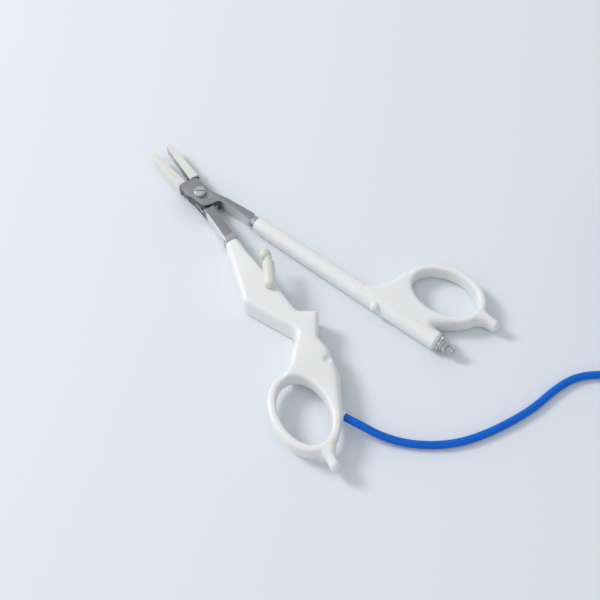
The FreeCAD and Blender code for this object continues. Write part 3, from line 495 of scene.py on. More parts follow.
def add_piece(
    name: str, points: np.ndarray, faces: Sequence[Sequence[int]], finish: Finish
) -> bpy.types.Object:
    """Make an object with its place in its mesh.

    Args:
        name: the piece's name.
        points: places in metres, one row each.
        faces: point numbers of each face.
        finish: the piece's finish.

    Returns:
        The new object, smooth shaded, with faces that point outwards.
    """
    mesh = bpy.data.meshes.new(name)
    mesh.from_pydata(np.asarray(points, float).tolist(), [], faces)
    mesh.update()
    shell = bmesh.new()
    shell.from_mesh(mesh)
    bmesh.ops.remove_doubles(shell, verts=shell.verts, dist=MERGE)
    bmesh.ops.recalc_face_normals(shell, faces=shell.faces)
    shell.to_mesh(mesh)
    shell.free()
    mesh.shade_smooth()
    mesh.materials.append(finish.material)
    return show(name, mesh)


def settle(piece: bpy.types.Object, sharp: float) -> None:
    """Apply a piece's modifiers to its mesh and keep edges sharper than an angle crisp.

    Args:
        piece: the piece.
        sharp: angle in degrees.
    """
    depsgraph = bpy.context.evaluated_depsgraph_get()
    mesh = bpy.data.meshes.new_from_object(piece.evaluated_get(depsgraph))
    mesh.name = piece.name
    piece.modifiers.clear()
    piece.data = mesh
    mesh.shade_smooth()
    mesh.set_sharp_from_angle(angle=math.radians(sharp))


def joined(surfaces: Sequence[Surface]) -> Surface:
    """Put several surfaces into one list of points and one of faces.

    Args:
        surfaces: points and faces of each surface.

    Returns:
        All points, and the faces with their point numbers moved on.
    """
    offsets = np.cumsum([0] + [len(points) for points, _ in surfaces])
    faces = [
        [corner + int(offset) for corner in face]
        for offset, (_, group) in zip(offsets, surfaces)
        for face in group
    ]
    return np.vstack([points for points, _ in surfaces]), faces


def grid_faces(rows: int, columns: int) -> Faces:
    """Quads of a grid of points laid out row by row, in which each row closes on itself.

    Args:
        rows: number of rows.
        columns: number of points in a row.

    Returns:
        The quads as lists of four point numbers.
    """
    row, column = np.meshgrid(np.arange(rows - 1), np.arange(columns), indexing="ij")
    ahead = (column + 1) % columns
    corners = [row * columns + column, row * columns + ahead]
    corners += [(row + 1) * columns + ahead, (row + 1) * columns + column]
    return np.stack(corners, -1).reshape(-1, 4).tolist()


def unit(vectors: np.ndarray) -> np.ndarray:
    """Vectors scaled to length one along their last axis."""
    return vectors / np.linalg.norm(vectors, axis=-1, keepdims=True)


def sections(
    path: np.ndarray,
    heading: np.ndarray,
    wide: np.ndarray,
    tall: np.ndarray,
    square: float,
    around: int,
) -> np.ndarray:
    """Sections along a level path.

    The section at each place is the curve |a / wide| ** square + |b / tall| ** square = 1, with a
    across the path and b upwards.

    Args:
        path: places along the path, one row each.
        heading: the path's direction at each place.
        wide: half width at each place.
        tall: half height at each place.
        square: 2 for an ellipse, more for a squarer section.
        around: number of points in a section.

    Returns:
        The points, by place and by turn.
    """
    across = unit(np.stack([-heading[:, 1], heading[:, 0], 0 * heading[:, 0]], -1))
    turn = np.linspace(0, 2 * np.pi, around, endpoint=False)
    side = np.sign(np.cos(turn)) * np.abs(np.cos(turn)) ** (2 / square)
    rise = np.sign(np.sin(turn)) * np.abs(np.sin(turn)) ** (2 / square)
    points = path[:, None] + across[:, None] * (wide[:, None] * side)[..., None]
    return points + UP * (tall[:, None] * rise)[..., None]


def loft(
    path: np.ndarray, wide: np.ndarray, tall: np.ndarray, square: float, around: int
) -> Surface:
    """Closed surface of sections along a level path, which ends in a point on either side.

    Args:
        path: places along the path, one row each.
        wide: half width at each place.
        tall: half height at each place.
        square: 2 for an ellipse, more for a squarer section.
        around: number of points in a section.

    Returns:
        The surface's points and faces.
    """
    heading = unit(np.gradient(path, axis=0))
    points = sections(path, heading, wide, tall, square, around)
    count = len(path) * around
    first, last = np.arange(around), np.arange(around) + count - around
    ends = [np.stack([np.full(around, count), np.roll(first, -1), first], -1)]
    ends += [np.stack([np.full(around, count + 1), last, np.roll(last, -1)], -1)]
    points = np.vstack([points.reshape(-1, 3), path[:1], path[-1:]])
    return points, grid_faces(len(path), around) + np.vstack(ends).tolist()


def rounded_outline(corners: Sequence[Corner]) -> np.ndarray:
    """Closed outline of straight runs, with a curve in each corner.

    A corner's curve touches both runs where an arc of its radius would, and its places are
    corner + one * (1 - s) ** 2 + two * s ** 2, with s from 0 to 1 and one and two the ways to
    the two touching places.

    Args:
        corners: each corner's x, y and radius in millimetres.

    Returns:
        Evenly spaced points, one row each.
    """
    places = np.array([corner[:2] for corner in corners])
    back = np.roll(places, 1, 0) - places
    ahead = np.roll(places, -1, 0) - places
    share = np.linspace(0, 1, CORNER_POINTS)[:, None]
    pieces = []
    for here, to_back, to_ahead, (_, _, radius) in zip(places, back, ahead, corners):
        if radius == 0:
            pieces.append(here[None])
            continue
        long_back, long_ahead = np.linalg.norm(to_back), np.linalg.norm(to_ahead)
        one, two = to_back / long_back, to_ahead / long_ahead
        half = math.acos(float(np.clip(one @ two, -1, 1))) / 2
        most = CORNER_SHARE * min(long_back, long_ahead)
        setback = min(radius / math.tan(half), most)
        pieces.append(here + one * setback * (1 - share) ** 2 + two * setback * share**2)
    line = np.vstack(pieces)
    line = np.vstack([line, line[:1]])
    walked = np.concatenate([[0], np.cumsum(np.linalg.norm(np.diff(line, axis=0), axis=1))])
    at = np.arange(0, walked[-1], OUTLINE_STEP)
    return np.stack([np.interp(at, walked, line[:, axis]) for axis in (0, 1)], -1)


def inside(points: np.ndarray, outline: np.ndarray) -> np.ndarray:
    """Find the points inside a closed outline, by counting the edges crossed to their right.

    Args:
        points: places to test, one row each.
        outline: the outline's points, one row each.

    Returns:
        True for each point that is inside.
    """
    x, y = points[:, 0, None], points[:, 1, None]
    x1, y1 = outline[:, 0], outline[:, 1]
    x2, y2 = np.roll(x1, -1), np.roll(y1, -1)
    spans = (y1 > y) != (y2 > y)
    rise = np.where(y2 == y1, 1e-12, y2 - y1)
    return (spans & (x < (x2 - x1) * (y - y1) / rise + x1)).sum(1) % 2 == 1


def reach(points: np.ndarray, outline: np.ndarray) -> np.ndarray:
    """Measure from each point to a closed outline's nearest edge.

    Args:
        points: places to measure from, one row each.
        outline: the outline's points, one row each.

    Returns:
        The distances.
    """
    start, run = outline, np.roll(outline, -1, 0) - outline
    gap = points[:, None] - start
    share = np.clip((gap * run).sum(-1) / (run * run).sum(-1), 0, 1)
    return np.linalg.norm(gap - share[..., None] * run, axis=-1).min(1)


@dataclass(frozen=True)
class Pillow:
    """Moulded slab over an outline, with rounded upper and lower edges and a crowned top.

    low, high and edge give the underside's height, the top's height and the upper edge's radius
    at places seen from above. The top rises by crown over about crown_reach. Points inside the
    outline lie a pitch apart and stay clear of it by clear times the pitch.
    """

    low: Height
    high: Height
    edge: Height
    crown: float = 0.35
    crown_reach: float = 4.0
    lower_edge: float = 1.4
    pitch: float = 0.75
    clear: float = 0.45

    def sheets(self, outline: np.ndarray) -> Surface:
        """Points and faces of the slab.

        At a distance d from the outline the top lies below its full height by
        r - sqrt(r ** 2 - (r - d) ** 2) while d is less than the edge radius r.

        Args:
            outline: closed outline in millimetres.

        Returns:
            The slab's points and faces.
        """
        lowest, highest = outline.min(0), outline.max(0)
        across = [np.arange(lowest[axis], highest[axis], self.pitch) for axis in (0, 1)]
        lattice = np.stack(np.meshgrid(*across), -1).reshape(-1, 2)
        lattice = lattice[inside(lattice, outline)]
        lattice = lattice[reach(lattice, outline) > self.clear * self.pitch]
        flat = np.vstack([outline, lattice])
        count = len(outline)
        ring = [(i, (i + 1) % count) for i in range(count)]
        spots, _, triangles, *_ = delaunay_2d_cdt([Vector(p) for p in flat], ring, [], 1, 1e-4)
        spots = np.array(spots)
        away = reach(spots, outline)
        away[:count] = 0
        upper = self.high(spots) - self.fall(away, self.edge(spots))
        upper += self.crown * (1 - np.exp(-away / self.crown_reach))
        lower = self.low(spots) + self.fall(away, np.full(len(spots), self.lower_edge))
        total = len(spots)
        points = np.vstack([np.column_stack([spots, upper]), np.column_stack([spots, lower])])
        faces = [list(face) for face in triangles]
        faces += [[i + total for i in reversed(face)] for face in triangles]
        faces += [[a, b, b + total, a + total] for a, b in ring]
        return points, faces

    @staticmethod
    def fall(away: np.ndarray, radius: np.ndarray) -> np.ndarray:
        """Drop of a rounded edge at a distance from the outline."""
        left = np.clip(radius - away, 0, None)
        return radius - np.sqrt(np.clip(radius**2 - left**2, 0, None))


def fused(name: str, solids: Sequence[Surface], half: Half, finish: Finish) -> bpy.types.Object:
    """Run overlapping closed surfaces together into one moulding with soft inner corners.

    Args:
        name: the piece's name.
        solids: points and faces of each surface, in millimetres.
        half: the half that the piece belongs to.
        finish: the piece's finish.

    Returns:
        The moulding.
    """
    points, faces = joined(solids)
    piece = add_piece(name, half.place(points), faces, finish)
    remesh = piece.modifiers.new("one_skin", "REMESH")
    remesh.mode = "VOXEL"
    remesh.voxel_size = VOXEL * MM
    smooth = piece.modifiers.new("soft_corners", "SMOOTH")
    smooth.factor = 0.5
    smooth.iterations = SOFTENING
    settle(piece, SMOOTH_ALL)
    piece.data.materials.clear()
    piece.data.materials.append(finish.material)
    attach(piece, half.body)
    return piece


@dataclass
class Loop:
    """Finger loop: an oval bar round a hole, with a stub behind it.

    middle, half_long, half_wide and tilt are the hole's, wall is the bar's width, and low and
    high are the heights of its underside and top. The stub starts stub_sunk before stub_root. A
    handle's outline keeps a margin from the hole, and fade is how far the hole's edge reaches.
    """

    middle: Spot
    half_long: float
    half_wide: float
    tilt: float
    wall: float
    low: float
    high: float
    stub_root: Spot
    stub_heading: float
    stub_length: float = 10.0
    stub_sunk: float = 1.0
    stub_waist: float = 2.0
    stub_swell: float = 0.35
    stub_flare: float = 2.8
    stub_droop: float = 0.9
    stub_square: float = 2.6
    bar_square: float = 3.8
    around: int = 48
    margin: float = 0.3
    fade: float = 3.0

    @property
    def middle_height(self) -> float:
        """Height of the bar's middle."""
        return (self.low + self.high) / 2

    @property
    def half_height(self) -> float:
        """Half of the bar's height."""
        return (self.high - self.low) / 2

    def oval(self, turns: np.ndarray, margin: float) -> np.ndarray:
        """Points of the hole's oval, grown all round.

        Args:
            turns: turns in degrees, from the oval's long axis.
            margin: how far the oval is grown.

        Returns:
            The points, one row each.
        """
        angle, lean = np.radians(turns), math.radians(self.tilt)
        x = (self.half_long + margin) * np.cos(angle)
        y = (self.half_wide + margin) * np.sin(angle)
        across = x * math.cos(lean) - y * math.sin(lean)
        up = x * math.sin(lean) + y * math.cos(lean)
        return np.stack([across + self.middle[0], up + self.middle[1]], -1)

    def bar(self) -> Surface:
        """Oval bar with a squarish rounded section, closed on itself.

        Returns:
            The bar's points and faces.
        """
        line = self.oval(np.linspace(0, 360, 181), self.wall / 2)
        path = np.column_stack([line, np.full(len(line), self.middle_height)])
        heading = unit(np.gradient(path, axis=0))
        heading[0] = heading[-1] = unit(heading[0] + heading[-1])
        wide = np.full(len(path), self.wall / 2)
        tall = np.full(len(path), self.half_height)
        points = sections(path, heading, wide, tall, self.bar_square, self.around)
        return points.reshape(-1, 3), grid_faces(len(path), self.around)

    def stub(self) -> Surface:
        """Stub that narrows from the bar, droops a little and ends in a round button.

        With s the share of the way, the flare at its root is flare * exp(-(s / 0.3) ** 2), the
        button's swelling is swell * exp(-((s - 0.86) / 0.12) ** 2), and the last fifth closes in
        a quarter circle.

        Returns:
            The stub's points and faces.
        """
        share = np.linspace(0, 1, 40)
        angle = math.radians(self.stub_heading)
        way = np.array([math.cos(angle), math.sin(angle), 0])
        root = np.array([*self.stub_root, self.middle_height])
        walked = share[:, None] * (self.stub_length + self.stub_sunk) - self.stub_sunk
        flare = self.stub_flare * np.exp(-((share / 0.3) ** 2))
        round_end = np.sqrt(np.clip(1 - (np.clip(share - 0.8, 0, 1) / 0.2) ** 2, 0.0004, 1))
        waist = self.stub_waist + self.stub_swell * np.exp(-(((share - 0.86) / 0.12) ** 2))
        wide = (waist + flare) * round_end
        tall = (self.half_height - self.stub_droop * np.clip(share - 0.15, 0, 1)) * round_end
        return loft(root + way * walked, wide, tall, self.stub_square, self.around)

    def hole_edge(self, start: float, end: float) -> list[Corner]:
        """Corners along the hole's edge.

        Args:
            start: first turn in degrees.
            end: last turn in degrees.

        Returns:
            Each corner's x and y, with no rounding.
        """
        line = self.oval(np.linspace(start, end, 24), self.margin)
        return [(float(x), float(y), 0.0) for x, y in line]

    def nearness(self, spots: np.ndarray) -> np.ndarray:
        """Say how near places are to the hole's edge.

        Args:
            spots: places seen from above, one row each.

        Returns:
            One at the edge, falling to nothing a few millimetres away from it.
        """
        lean = math.radians(self.tilt)
        dx, dy = spots[:, 0] - self.middle[0], spots[:, 1] - self.middle[1]
        x = (dx * math.cos(lean) + dy * math.sin(lean)) / self.half_long
        y = (-dx * math.sin(lean) + dy * math.cos(lean)) / self.half_wide
        beyond = (np.hypot(x, y) - 1) * self.half_wide
        return np.exp(-((beyond / self.fade) ** 2))


@dataclass
class FixedHandle:
    """White handle with the belly, the hump, the finger loop and the shallow dimple.

    Its outline and heights are in the fixed half's own frame.
    """

    full_height: float = 12.4
    nose_height: float = 9.4
    hole_round: float = 1.2
    dimple: Spot = (-110.7, -5.3)
    dimple_radius: float = 2.1
    dimple_depth: float = 1.4
    loop: Loop = field(
        default_factory=lambda: Loop(
            middle=(-126.6, 15.8),
            half_long=16.5,
            half_wide=10.8,
            tilt=-6.0,
            wall=3.8,
            low=3.2,
            high=11.4,
            stub_root=(-146.0, 16.1),
            stub_heading=175.0,
        )
    )

    def outline(self) -> np.ndarray:
        """Outline of the handle without its loop: belly, hole, back, hump and nose.

        Returns:
            Evenly spaced points, one row each.
        """
        front = [
            (-31.9, 3.2, 1.5),
            (-66.5, 12.0, 3.5),
            (-92.0, -1.4, 5.0),
            (-97.5, 4.5, 5.0),
            (-104.5, 10.5, 4.0),
        ]
        back = [
            (-143.8, 9.2, 3.0),
            (-137.5, 2.6, 12.0),
            (-118.0, -7.2, 18.0),
            (-104.5, -8.9, 8.0),
            (-99.0, -7.6, 2.0),
            (-87.4, -14.6, 1.5),
            (-82.3, -6.3, 2.0),
            (-44.0, -3.0, 20.0),
            (-31.9, -3.0, 1.5),
        ]
        return rounded_outline(front + self.loop.hole_edge(30.0, -170.0) + back)

    def high(self, spots: np.ndarray) -> np.ndarray:
        """Height of the top: it climbs behind the nose and drops to the loop and the dimple.

        Args:
            spots: places seen from above, one row each.

        Returns:
            The heights.
        """
        x, y = self.dimple
        away = np.hypot(spots[:, 0] - x, spots[:, 1] - y) / self.dimple_radius
        hollow = self.dimple_depth * np.clip(1 - away**2, 0, 1)
        heights = [self.loop.high, self.full_height, self.full_height, self.nose_height]
        return np.interp(spots[:, 0], [-122.0, -104.0, -54.0, -31.6], heights) - hollow

    def low(self, spots: np.ndarray) -> np.ndarray:
        """Height of the underside: it rises towards the loop."""
        return np.interp(spots[:, 0], [-114.0, -100.0], [self.loop.low, 0.0])

    def edge(self, spots: np.ndarray) -> np.ndarray:
        """Radius of the upper edge: small at the front and at the hole, large at the neck.

        Args:
            spots: places seen from above, one row each.

        Returns:
            The radii.
        """
        free = np.interp(spots[:, 0], [-112.0, -96.0, -60.0, -34.0], [3.6, 2.2, 1.6, 2.2])
        near = self.loop.nearness(spots)
        return free * (1 - near) + self.hole_round * near

    def build(self) -> bpy.types.Object:
        """Make the handle as one skin over its two shells.

        Returns:
            The handle.
        """
        slab = Pillow(self.low, self.high, self.edge)
        solids = [slab.sheets(self.outline()), self.loop.bar(), self.loop.stub()]
        handle = fused("fixed_handle_skin", solids, Half.FIXED, SHELL)
        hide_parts("handle_shell_top", "handle_shell_bottom")
        return handle


@dataclass
class Tube:
    """White tube of the moving half, in that half's own frame.

    It widens from its front end to a shoulder, and a thinner rear end goes on inside the handle's
    sleeve. There the front stretch runs hidden past the shoulder, and the rear one starts overlap
    before it. The squares say how square each section is.
    """

    front: Triple = (-30.6, -9.08, 4.6)
    angle: float = 188.0
    length: float = 104.6
    shoulder: float = 58.0
    front_radius: float = 3.7
    hidden_radius: float = 4.22
    rear_radius: float = 3.3
    front_lip: float = 0.7
    rear_lip: float = 0.5
    front_square: float = 2.25
    rear_square: float = 2.1
    hidden: float = 6.0
    overlap: float = 4.0
    around: int = 72
    sharp: float = 50.0

    @property
    def way(self) -> np.ndarray:
        """Direction from the tube's front end to its rear end."""
        turn = math.radians(self.angle)
        return np.array([math.cos(turn), math.sin(turn), 0.0])

    def stretch(
        self, start: float, end: float, front: float, rear: float, lip: float, square: float
    ) -> Surface:
        """Round stretch of the tube with rounded rims.

        Args:
            start: distance of its start from the tube's front end.
            end: distance of its end.
            front: radius at its start.
            rear: radius at its end.
            lip: radius of the rims.
            square: 2 for a round section, more for a squarer one.

        Returns:
            The stretch's points and faces.
        """
        quarter = np.linspace(0, np.pi / 2, RIM_POINTS)
        rim = lip * (1 - np.cos(quarter))
        drop = lip * (1 - np.sin(quarter))
        inner = np.linspace(start + lip, end - lip, RUN_POINTS)
        walked = np.concatenate([start + rim, inner[1:-1], end - rim[::-1]])
        radius = np.interp(walked, [start, end], [front, rear])
        radius[:RIM_POINTS] -= drop
        radius[-RIM_POINTS:] -= drop[::-1]
        path = np.array(self.front) + np.multiply.outer(walked, self.way)
        return loft(path, radius, radius, square, self.around)

    def build(self) -> bpy.types.Object:
        """Make the tube with its taper, its shoulder and its thinner rear end.

        Returns:
            The tube.
        """
        end, start = self.shoulder + self.hidden, self.shoulder - self.overlap
        radii = self.front_radius, self.hidden_radius
        front = self.stretch(0.0, end, *radii, self.front_lip, self.front_square)
        radii = self.rear_radius, self.rear_radius
        rear = self.stretch(start, self.length, *radii, self.rear_lip, self.rear_square)
        points, faces = joined([front, rear])
        tube = add_piece("moving_tube_skin", Half.MOVING.place(points), faces, HANDLE)
        tube.data.set_sharp_from_angle(angle=math.radians(self.sharp))
        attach(tube, Half.MOVING.body)
        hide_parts("moving_tube")
        return tube


@dataclass
class MovingHandle:
    """White handle on the tube: sleeve, web, finger loop and stub, in the moving half's frame."""

    tube: Tube
    underside: float = 0.15
    crown: float = 0.2
    outer_round: float = 3.6
    hole_round: float = 1.3
    sleeve_start: float = 57.6
    sleeve_end: float = 104.0
    sleeve_radius: float = 4.3
    sleeve_lip: float = 0.35
    sleeve_square: float = 2.2
    loop: Loop = field(
        default_factory=lambda: Loop(
            middle=(-119.8, -43.5),
            half_long=16.0,
            half_wide=11.0,
            tilt=14.0,
            wall=3.6,
            low=0.2,
            high=8.7,
            stub_root=(-138.0, -46.8),
            stub_heading=191.0,
        )
    )

    def outline(self) -> np.ndarray:
        """Outline of the web: beside the tube, hole, and the side towards the jaws.

        Returns:
            Evenly spaced points, one row each.
        """
        front = [
            (-92.5, -15.6, 2.0),
            (-112.0, -17.4, 3.0),
            (-116.0, -20.2, 4.0),
            (-127.0, -24.2, 2.0),
            (-128.2, -28.3, 3.0),
            (-134.4, -35.2, 4.0),
        ]
        back = [
            (-98.6, -39.0, 3.0),
            (-97.7, -30.8, 6.0),
            (-94.6, -24.0, 6.0),
            (-90.0, -20.4, 3.0),
        ]
        return rounded_outline(front + self.loop.hole_edge(150.0, -2.0) + back)

    def high(self, spots: np.ndarray) -> np.ndarray:
        """Height of the top: it eases down from the sleeve to the loop."""
        return np.interp(spots[:, 1], [-46.0, -30.0, -18.0], [self.loop.high, 9.0, 9.2])

    def low(self, spots: np.ndarray) -> np.ndarray:
        """Height of the underside."""
        return np.full(len(spots), self.underside)

    def edge(self, spots: np.ndarray) -> np.ndarray:
        """Radius of the upper edge: large beside the tube, small at the hole."""
        near = self.loop.nearness(spots)
        return self.outer_round * (1 - near) + self.hole_round * near

    def build(self) -> bpy.types.Object:
        """Make the handle as one skin.

        Returns:
            The handle.
        """
        slab = Pillow(self.low, self.high, self.edge, self.crown)
        ends, radii = (self.sleeve_start, self.sleeve_end), (self.sleeve_radius, self.sleeve_radius)
        sleeve = self.tube.stretch(*ends, *radii, self.sleeve_lip, self.sleeve_square)
        solids = [slab.sheets(self.outline()), self.loop.bar(), self.loop.stub(), sleeve]
        handle = fused("moving_handle_skin", solids, Half.MOVING, HANDLE)
        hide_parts("moving_handle")
        return handle


@dataclass(frozen=True)
class Eased:
    """A machined or moulded piece whose sharp edges are eased.

    width is the width of the rounding and rounds its number of faces. Where a side finish is given,
    the faces whose normal's z is less than upright get it: painted light on the side walls.
    """

    node: str
    finish: Finish
    width: float = 0.2
    rounds: int = 2
    side_painted_light: Finish | None = None
    upright: float = 0.75

    def build(self) -> bpy.types.Object:
        """Copy the node's mesh, merge its loose triangles and round its edges.

        Returns:
            The eased piece.
        """
        source = frame["nodes"][self.node]
        mesh = source.data.copy()
        mesh.name = self.node + "_eased"
        shell = bmesh.new()
        shell.from_mesh(mesh)
        bmesh.ops.remove_doubles(shell, verts=shell.verts, dist=CAD_MERGE)
        bmesh.ops.dissolve_limit(
            shell, angle_limit=math.radians(FLAT_WITHIN), verts=shell.verts, edges=shell.edges
        )
        shell.to_mesh(mesh)
        shell.free()
        mesh.materials.clear()
        mesh.materials.append(self.finish.material)
        piece = show(self.node + "_eased", mesh)
        bevel = piece.modifiers.new("eased_edges", "BEVEL")
        bevel.width = self.width * MM
        bevel.segments = self.rounds
        bevel.limit_method = "ANGLE"
        bevel.angle_limit = math.radians(EASED_FROM)
        settle(piece, SHARP_EDGE)
        # Side walls get the lighter side finish: painted reflection.
        if self.side_painted_light is not None:
            self.paint_side_light(piece.data)
        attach(piece, source["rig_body"])
        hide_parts(self.node)
        return piece

    def paint_side_light(self, mesh: bpy.types.Mesh) -> None:
        """Give the faces that don't look up the side finish, whose lighter colour is painted
        reflection.

        Args:
            mesh: the eased mesh.
        """
        normals = np.empty(len(mesh.polygons) * 3)
        mesh.polygons.foreach_get("normal", normals)
        mesh.materials.append(self.side_painted_light.material)
        slots = (normals.reshape(-1, 3)[:, 2] < self.upright).astype(np.int32)
        mesh.polygons.foreach_set("material_index", slots)


@dataclass
class Lead:
    """Blue cord: the stretch in view, the put-away coil and the end at the plug.

    The coil's turns lie a column apart across and a row apart upwards, row_turns counts them from
    the table upwards, and a turn keeps its radius for its steady share before it moves over. The
    plug's relief lies relief_line beside the coil's middle.
    """

    radius: float = 1.75
    exit: Triple = (-134.80, 17.26, 6.0)
    coil_middle: Spot = (-199.0, -139.5)
    column: float = 3.5
    row: float = 3.03
    outer_turn: float = 28.0
    row_turns: tuple[int, ...] = (5, 4, 5, 4, 3)
    start_angle: float = 101.0
    end_angle: float = 270.0
    steady: float = 0.7
    around: int = 16
    relief_start: float = -170.7
    relief_line: float = 21.0
    plug_height: float = 5.0

    def route(self) -> np.ndarray:
        """Control points from the handle down to the table and along it.

        Returns:
            The points, one row each.
        """
        lie = self.radius
        points = [
            self.exit,
            (-141.4, 14.4, 6.0),
            (-150.7, 9.2, 2.9),
            (-160.3, 1.4, lie),
            (-168.9, -9.4, lie),
            (-174.1, -20.7, lie),
            (-177.3, -34.5, lie),
            (-179.2, -51.4, lie),
            (-177.8, -66.7, lie),
            (-179.2, -79.1, lie),
            (-187.8, -91.6, lie),
            (-196.6, -102.2, lie),
            (-204.4, -111.6, lie),
        ]
        return np.array(points)

    def coil(self) -> np.ndarray:
        """Control points of the turns: across a row inwards, up, and back outwards.

        The last turn slides down the outside of the bundle to the plug's height.

        Returns:
            The points, one row each.
        """
        columns, heights = [], []
        for row, count in enumerate(self.row_turns):
            inset = 0.5 if count % 2 == 0 else 0.0
            across = [inset + index for index in range(count)]
            columns += across if row % 2 == 0 else across[::-1]
            heights += [self.radius + row * self.row] * count
        radii = self.outer_turn - self.column * np.array(columns)
        radii = np.append(radii, self.outer_turn + self.column)
        heights = np.append(heights, self.plug_height)
        turns = len(radii) - 1
        end_turn = turns + (self.end_angle - self.start_angle) / 360
        done = np.arange(0, end_turn, 1 / self.around)
        whole = np.minimum(np.floor(done).astype(int), turns - 1)
        part = np.clip((done - whole - self.steady) / (1 - self.steady), 0, 1)
        ease = part**2 * (3 - 2 * part)
        radius = radii[whole] + (radii[whole + 1] - radii[whole]) * ease
        rise = heights[whole] + (heights[whole + 1] - heights[whole]) * ease
        angle = np.radians(self.start_angle + 360 * done)
        x = self.coil_middle[0] + radius * np.cos(angle)
        y = self.coil_middle[1] + radius * np.sin(angle)
        return np.stack([x, y, rise], -1)

    def tail(self) -> np.ndarray:
        """Control points from the coil's last turn into the plug's relief.

        Returns:
            The points, one row each.
        """
        line = self.coil_middle[1] - self.relief_line
        places = [(-9.0, line - 1.5), (-4.0, line), (0.0, line), (3.0, line)]
        return np.array([(self.relief_start + x, y, self.plug_height) for x, y in places])

    def build(self) -> bpy.types.Object:
        """Make the cord as one smooth curve.

        Returns:
            The cord.
        """
        points = np.vstack([self.route(), self.coil(), self.tail()]) * MM
        curve = bpy.data.curves.new("cord_lead", "CURVE")
        curve.dimensions = "3D"
        curve.bevel_depth = self.radius * MM
        curve.bevel_resolution = 6
        curve.resolution_u = 6
        curve.use_fill_caps = True
        spline = curve.splines.new("NURBS")
        spline.points.add(len(points) - 1)
        spline.points.foreach_set("co", np.column_stack([points, np.ones(len(points))]).ravel())
        spline.order_u = 3
        spline.use_endpoint_u = True
        curve.materials.append(JACKET.material)
        lead = show("cord_lead", curve)
        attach(lead, Half.FIXED.body)
        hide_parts("cord", "cord_coil", "cord_end")
        return lead


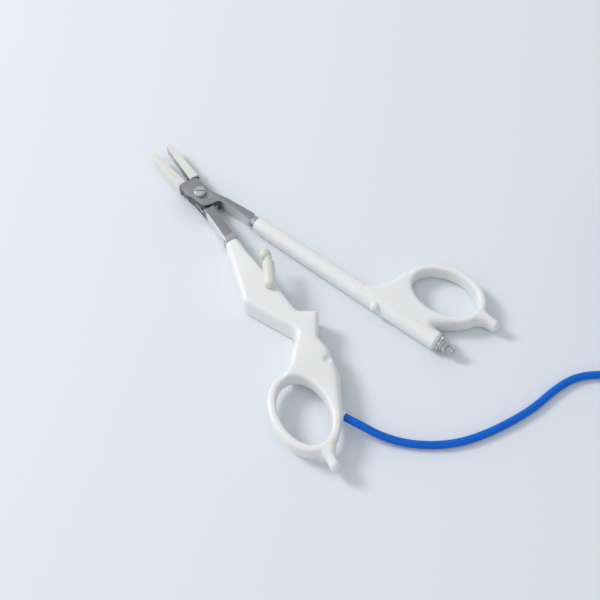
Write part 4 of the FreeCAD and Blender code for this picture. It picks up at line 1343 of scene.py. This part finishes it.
@dataclass
class Studio:
    """Pale table, soft light from the photograph's upper left, and the camera, in metres."""

    eye: Triple = (-0.2939, 0.1602, 0.4410)
    aim: Triple = (-0.0734, -0.0051, 0.0)
    lens: float = 67.8
    sensor: float = 36.0
    table: Colour = (0.755, 0.80, 0.85)
    table_reach: float = 6.0
    window_way: Triple = (0.864, 0.502, 0.0)
    window_away: float = 1.3
    window_height: float = 1.05
    window_size: float = 0.46
    window_power: float = 14.5
    fill_away: float = 1.4
    fill_way: Triple = (0.6, 0.8, 0.0)
    fill_aside: float = 0.7
    fill_size: float = 1.0
    fill_power: float = 1.5
    room: Colour = (0.965, 0.98, 1.0)
    room_strength: float = 0.62

    def turned_to_aim(self, thing: bpy.types.Object, place: Vector) -> None:
        """Put a lamp or the camera somewhere and turn it to the aim.

        Args:
            thing: the lamp or camera.
            place: where it stands.
        """
        thing.location = place
        thing.rotation_mode = "QUATERNION"
        thing.rotation_quaternion = (Vector(self.aim) - place).to_track_quat("-Z", "Y")

    def lamp(self, name: str, place: Vector, size: float, power: float) -> None:
        """Add a square soft lamp.

        Args:
            name: the lamp's name.
            place: where it stands.
            size: side length.
            power: strength in watts.
        """
        data = bpy.data.lights.new(name, "AREA")
        data.size = size
        data.energy = power
        self.turned_to_aim(show(name, data), place)

    def lay_table(self) -> None:
        """Add the smooth pale table top."""
        side = self.table_reach
        corners = np.array([(-side, -side, 0), (side, -side, 0), (side, side, 0), (-side, side, 0)])
        finish = Plastic("table_top", self.table, self.table, roughness=0.6, depth=0.0)
        add_piece("table", corners, [[0, 1, 2, 3]], finish)

    def light(self) -> None:
        """Add the two lamps and the room's own light."""
        aim, eye = Vector(self.aim), Vector(self.eye)
        window = aim + Vector(self.window_way) * self.window_away
        window += Vector((0, 0, self.window_height))
        self.lamp("left_window", window, self.window_size, self.window_power)
        near = aim + (eye - aim).normalized() * self.fill_away
        near += Vector(self.fill_way) * self.fill_aside
        self.lamp("front_fill", near, self.fill_size, self.fill_power)
        world = bpy.data.worlds.new("pale_room")
        bpy.context.scene.world = world
        world.use_nodes = True
        background = world.node_tree.nodes["Background"]
        background.inputs["Color"].default_value = (*self.room, 1)
        background.inputs["Strength"].default_value = self.room_strength

    def build(self) -> None:
        """Add the table, the light and the camera."""
        self.lay_table()
        self.light()
        data = bpy.data.cameras.new("eye")
        data.lens = self.lens
        data.sensor_width = self.sensor
        data.clip_start, data.clip_end = 0.01, 20
        camera = show("eye", data)
        self.turned_to_aim(camera, Vector(self.eye))
        bpy.context.scene.camera = camera
        bpy.context.scene.view_settings.view_transform = "Standard"


@dataclass
class Instrument:
    """The whole instrument."""

    tube: Tube = field(default_factory=Tube)
    lead: Lead = field(default_factory=Lead)

    def dress(self) -> None:
        """Give each node of the frame the finish of its slot in the record."""
        for part in frame["record"]["subparts"]:
            node = frame["nodes"][part["node"]]
            node.data.materials.clear()
            node.data.materials.append(SLOT_FINISHES[part["material_slot"]].material)

    def eased(self) -> list[Eased]:
        """Machined and moulded pieces that keep the shapes of their nodes.

        Returns:
            The pieces, with the width of their rounded edges in millimetres.
        """
        return [
            # The shanks' side walls take the lighter side steel: painted reflection, with painted
            # shade by the pivot.
            Eased("fixed_shank", SATIN, 0.35, 3, SIDE_STEEL_PAINTED_LIGHT),
            Eased("moving_shank", BENT_SATIN, 0.35, 3, SIDE_STEEL_PAINTED_LIGHT),
            Eased("fixed_ferrule", FERRULE, 0.25, 3),
            Eased("moving_collar", BRIGHT, 0.3, 3),
            Eased("fixed_jaw_cover", JAW, 0.75, 4),
            Eased("moving_jaw_cover", JAW, 0.75, 4),
            Eased("fixed_sealing_plate", SEAL, 0.12),
            Eased("moving_sealing_plate", SEAL, 0.12),
            Eased("pivot_screw", SCREW, 0.15),
            Eased("pivot_nut", BRIGHT, 0.15),
            Eased("switch_barrel", BARREL, 0.3, 3),
            Eased("plug_body", PLUG, 1.6, 4),
            Eased("port_flange", PLATED, 0.12),
            Eased("port_body", PLATED, 0.12),
            Eased("port_hub", PLATED, 0.1),
        ]

    def build(self) -> None:
        self.dress()
        pieces = [FixedHandle().build(), self.tube.build(), MovingHandle(self.tube).build()]
        pieces += [piece.build() for piece in self.eased()]
        lead = self.lead.build()
        for piece in [*pieces, lead]:
            LOG.info("%s: %d points", piece.name, len(getattr(piece.data, "vertices", [])))


def main() -> None:
    """Build the stage and the instrument."""
    logging.basicConfig(level=logging.INFO)
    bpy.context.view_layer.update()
    Studio().build()
    Instrument().build()


if __name__ == "__main__":
    main()
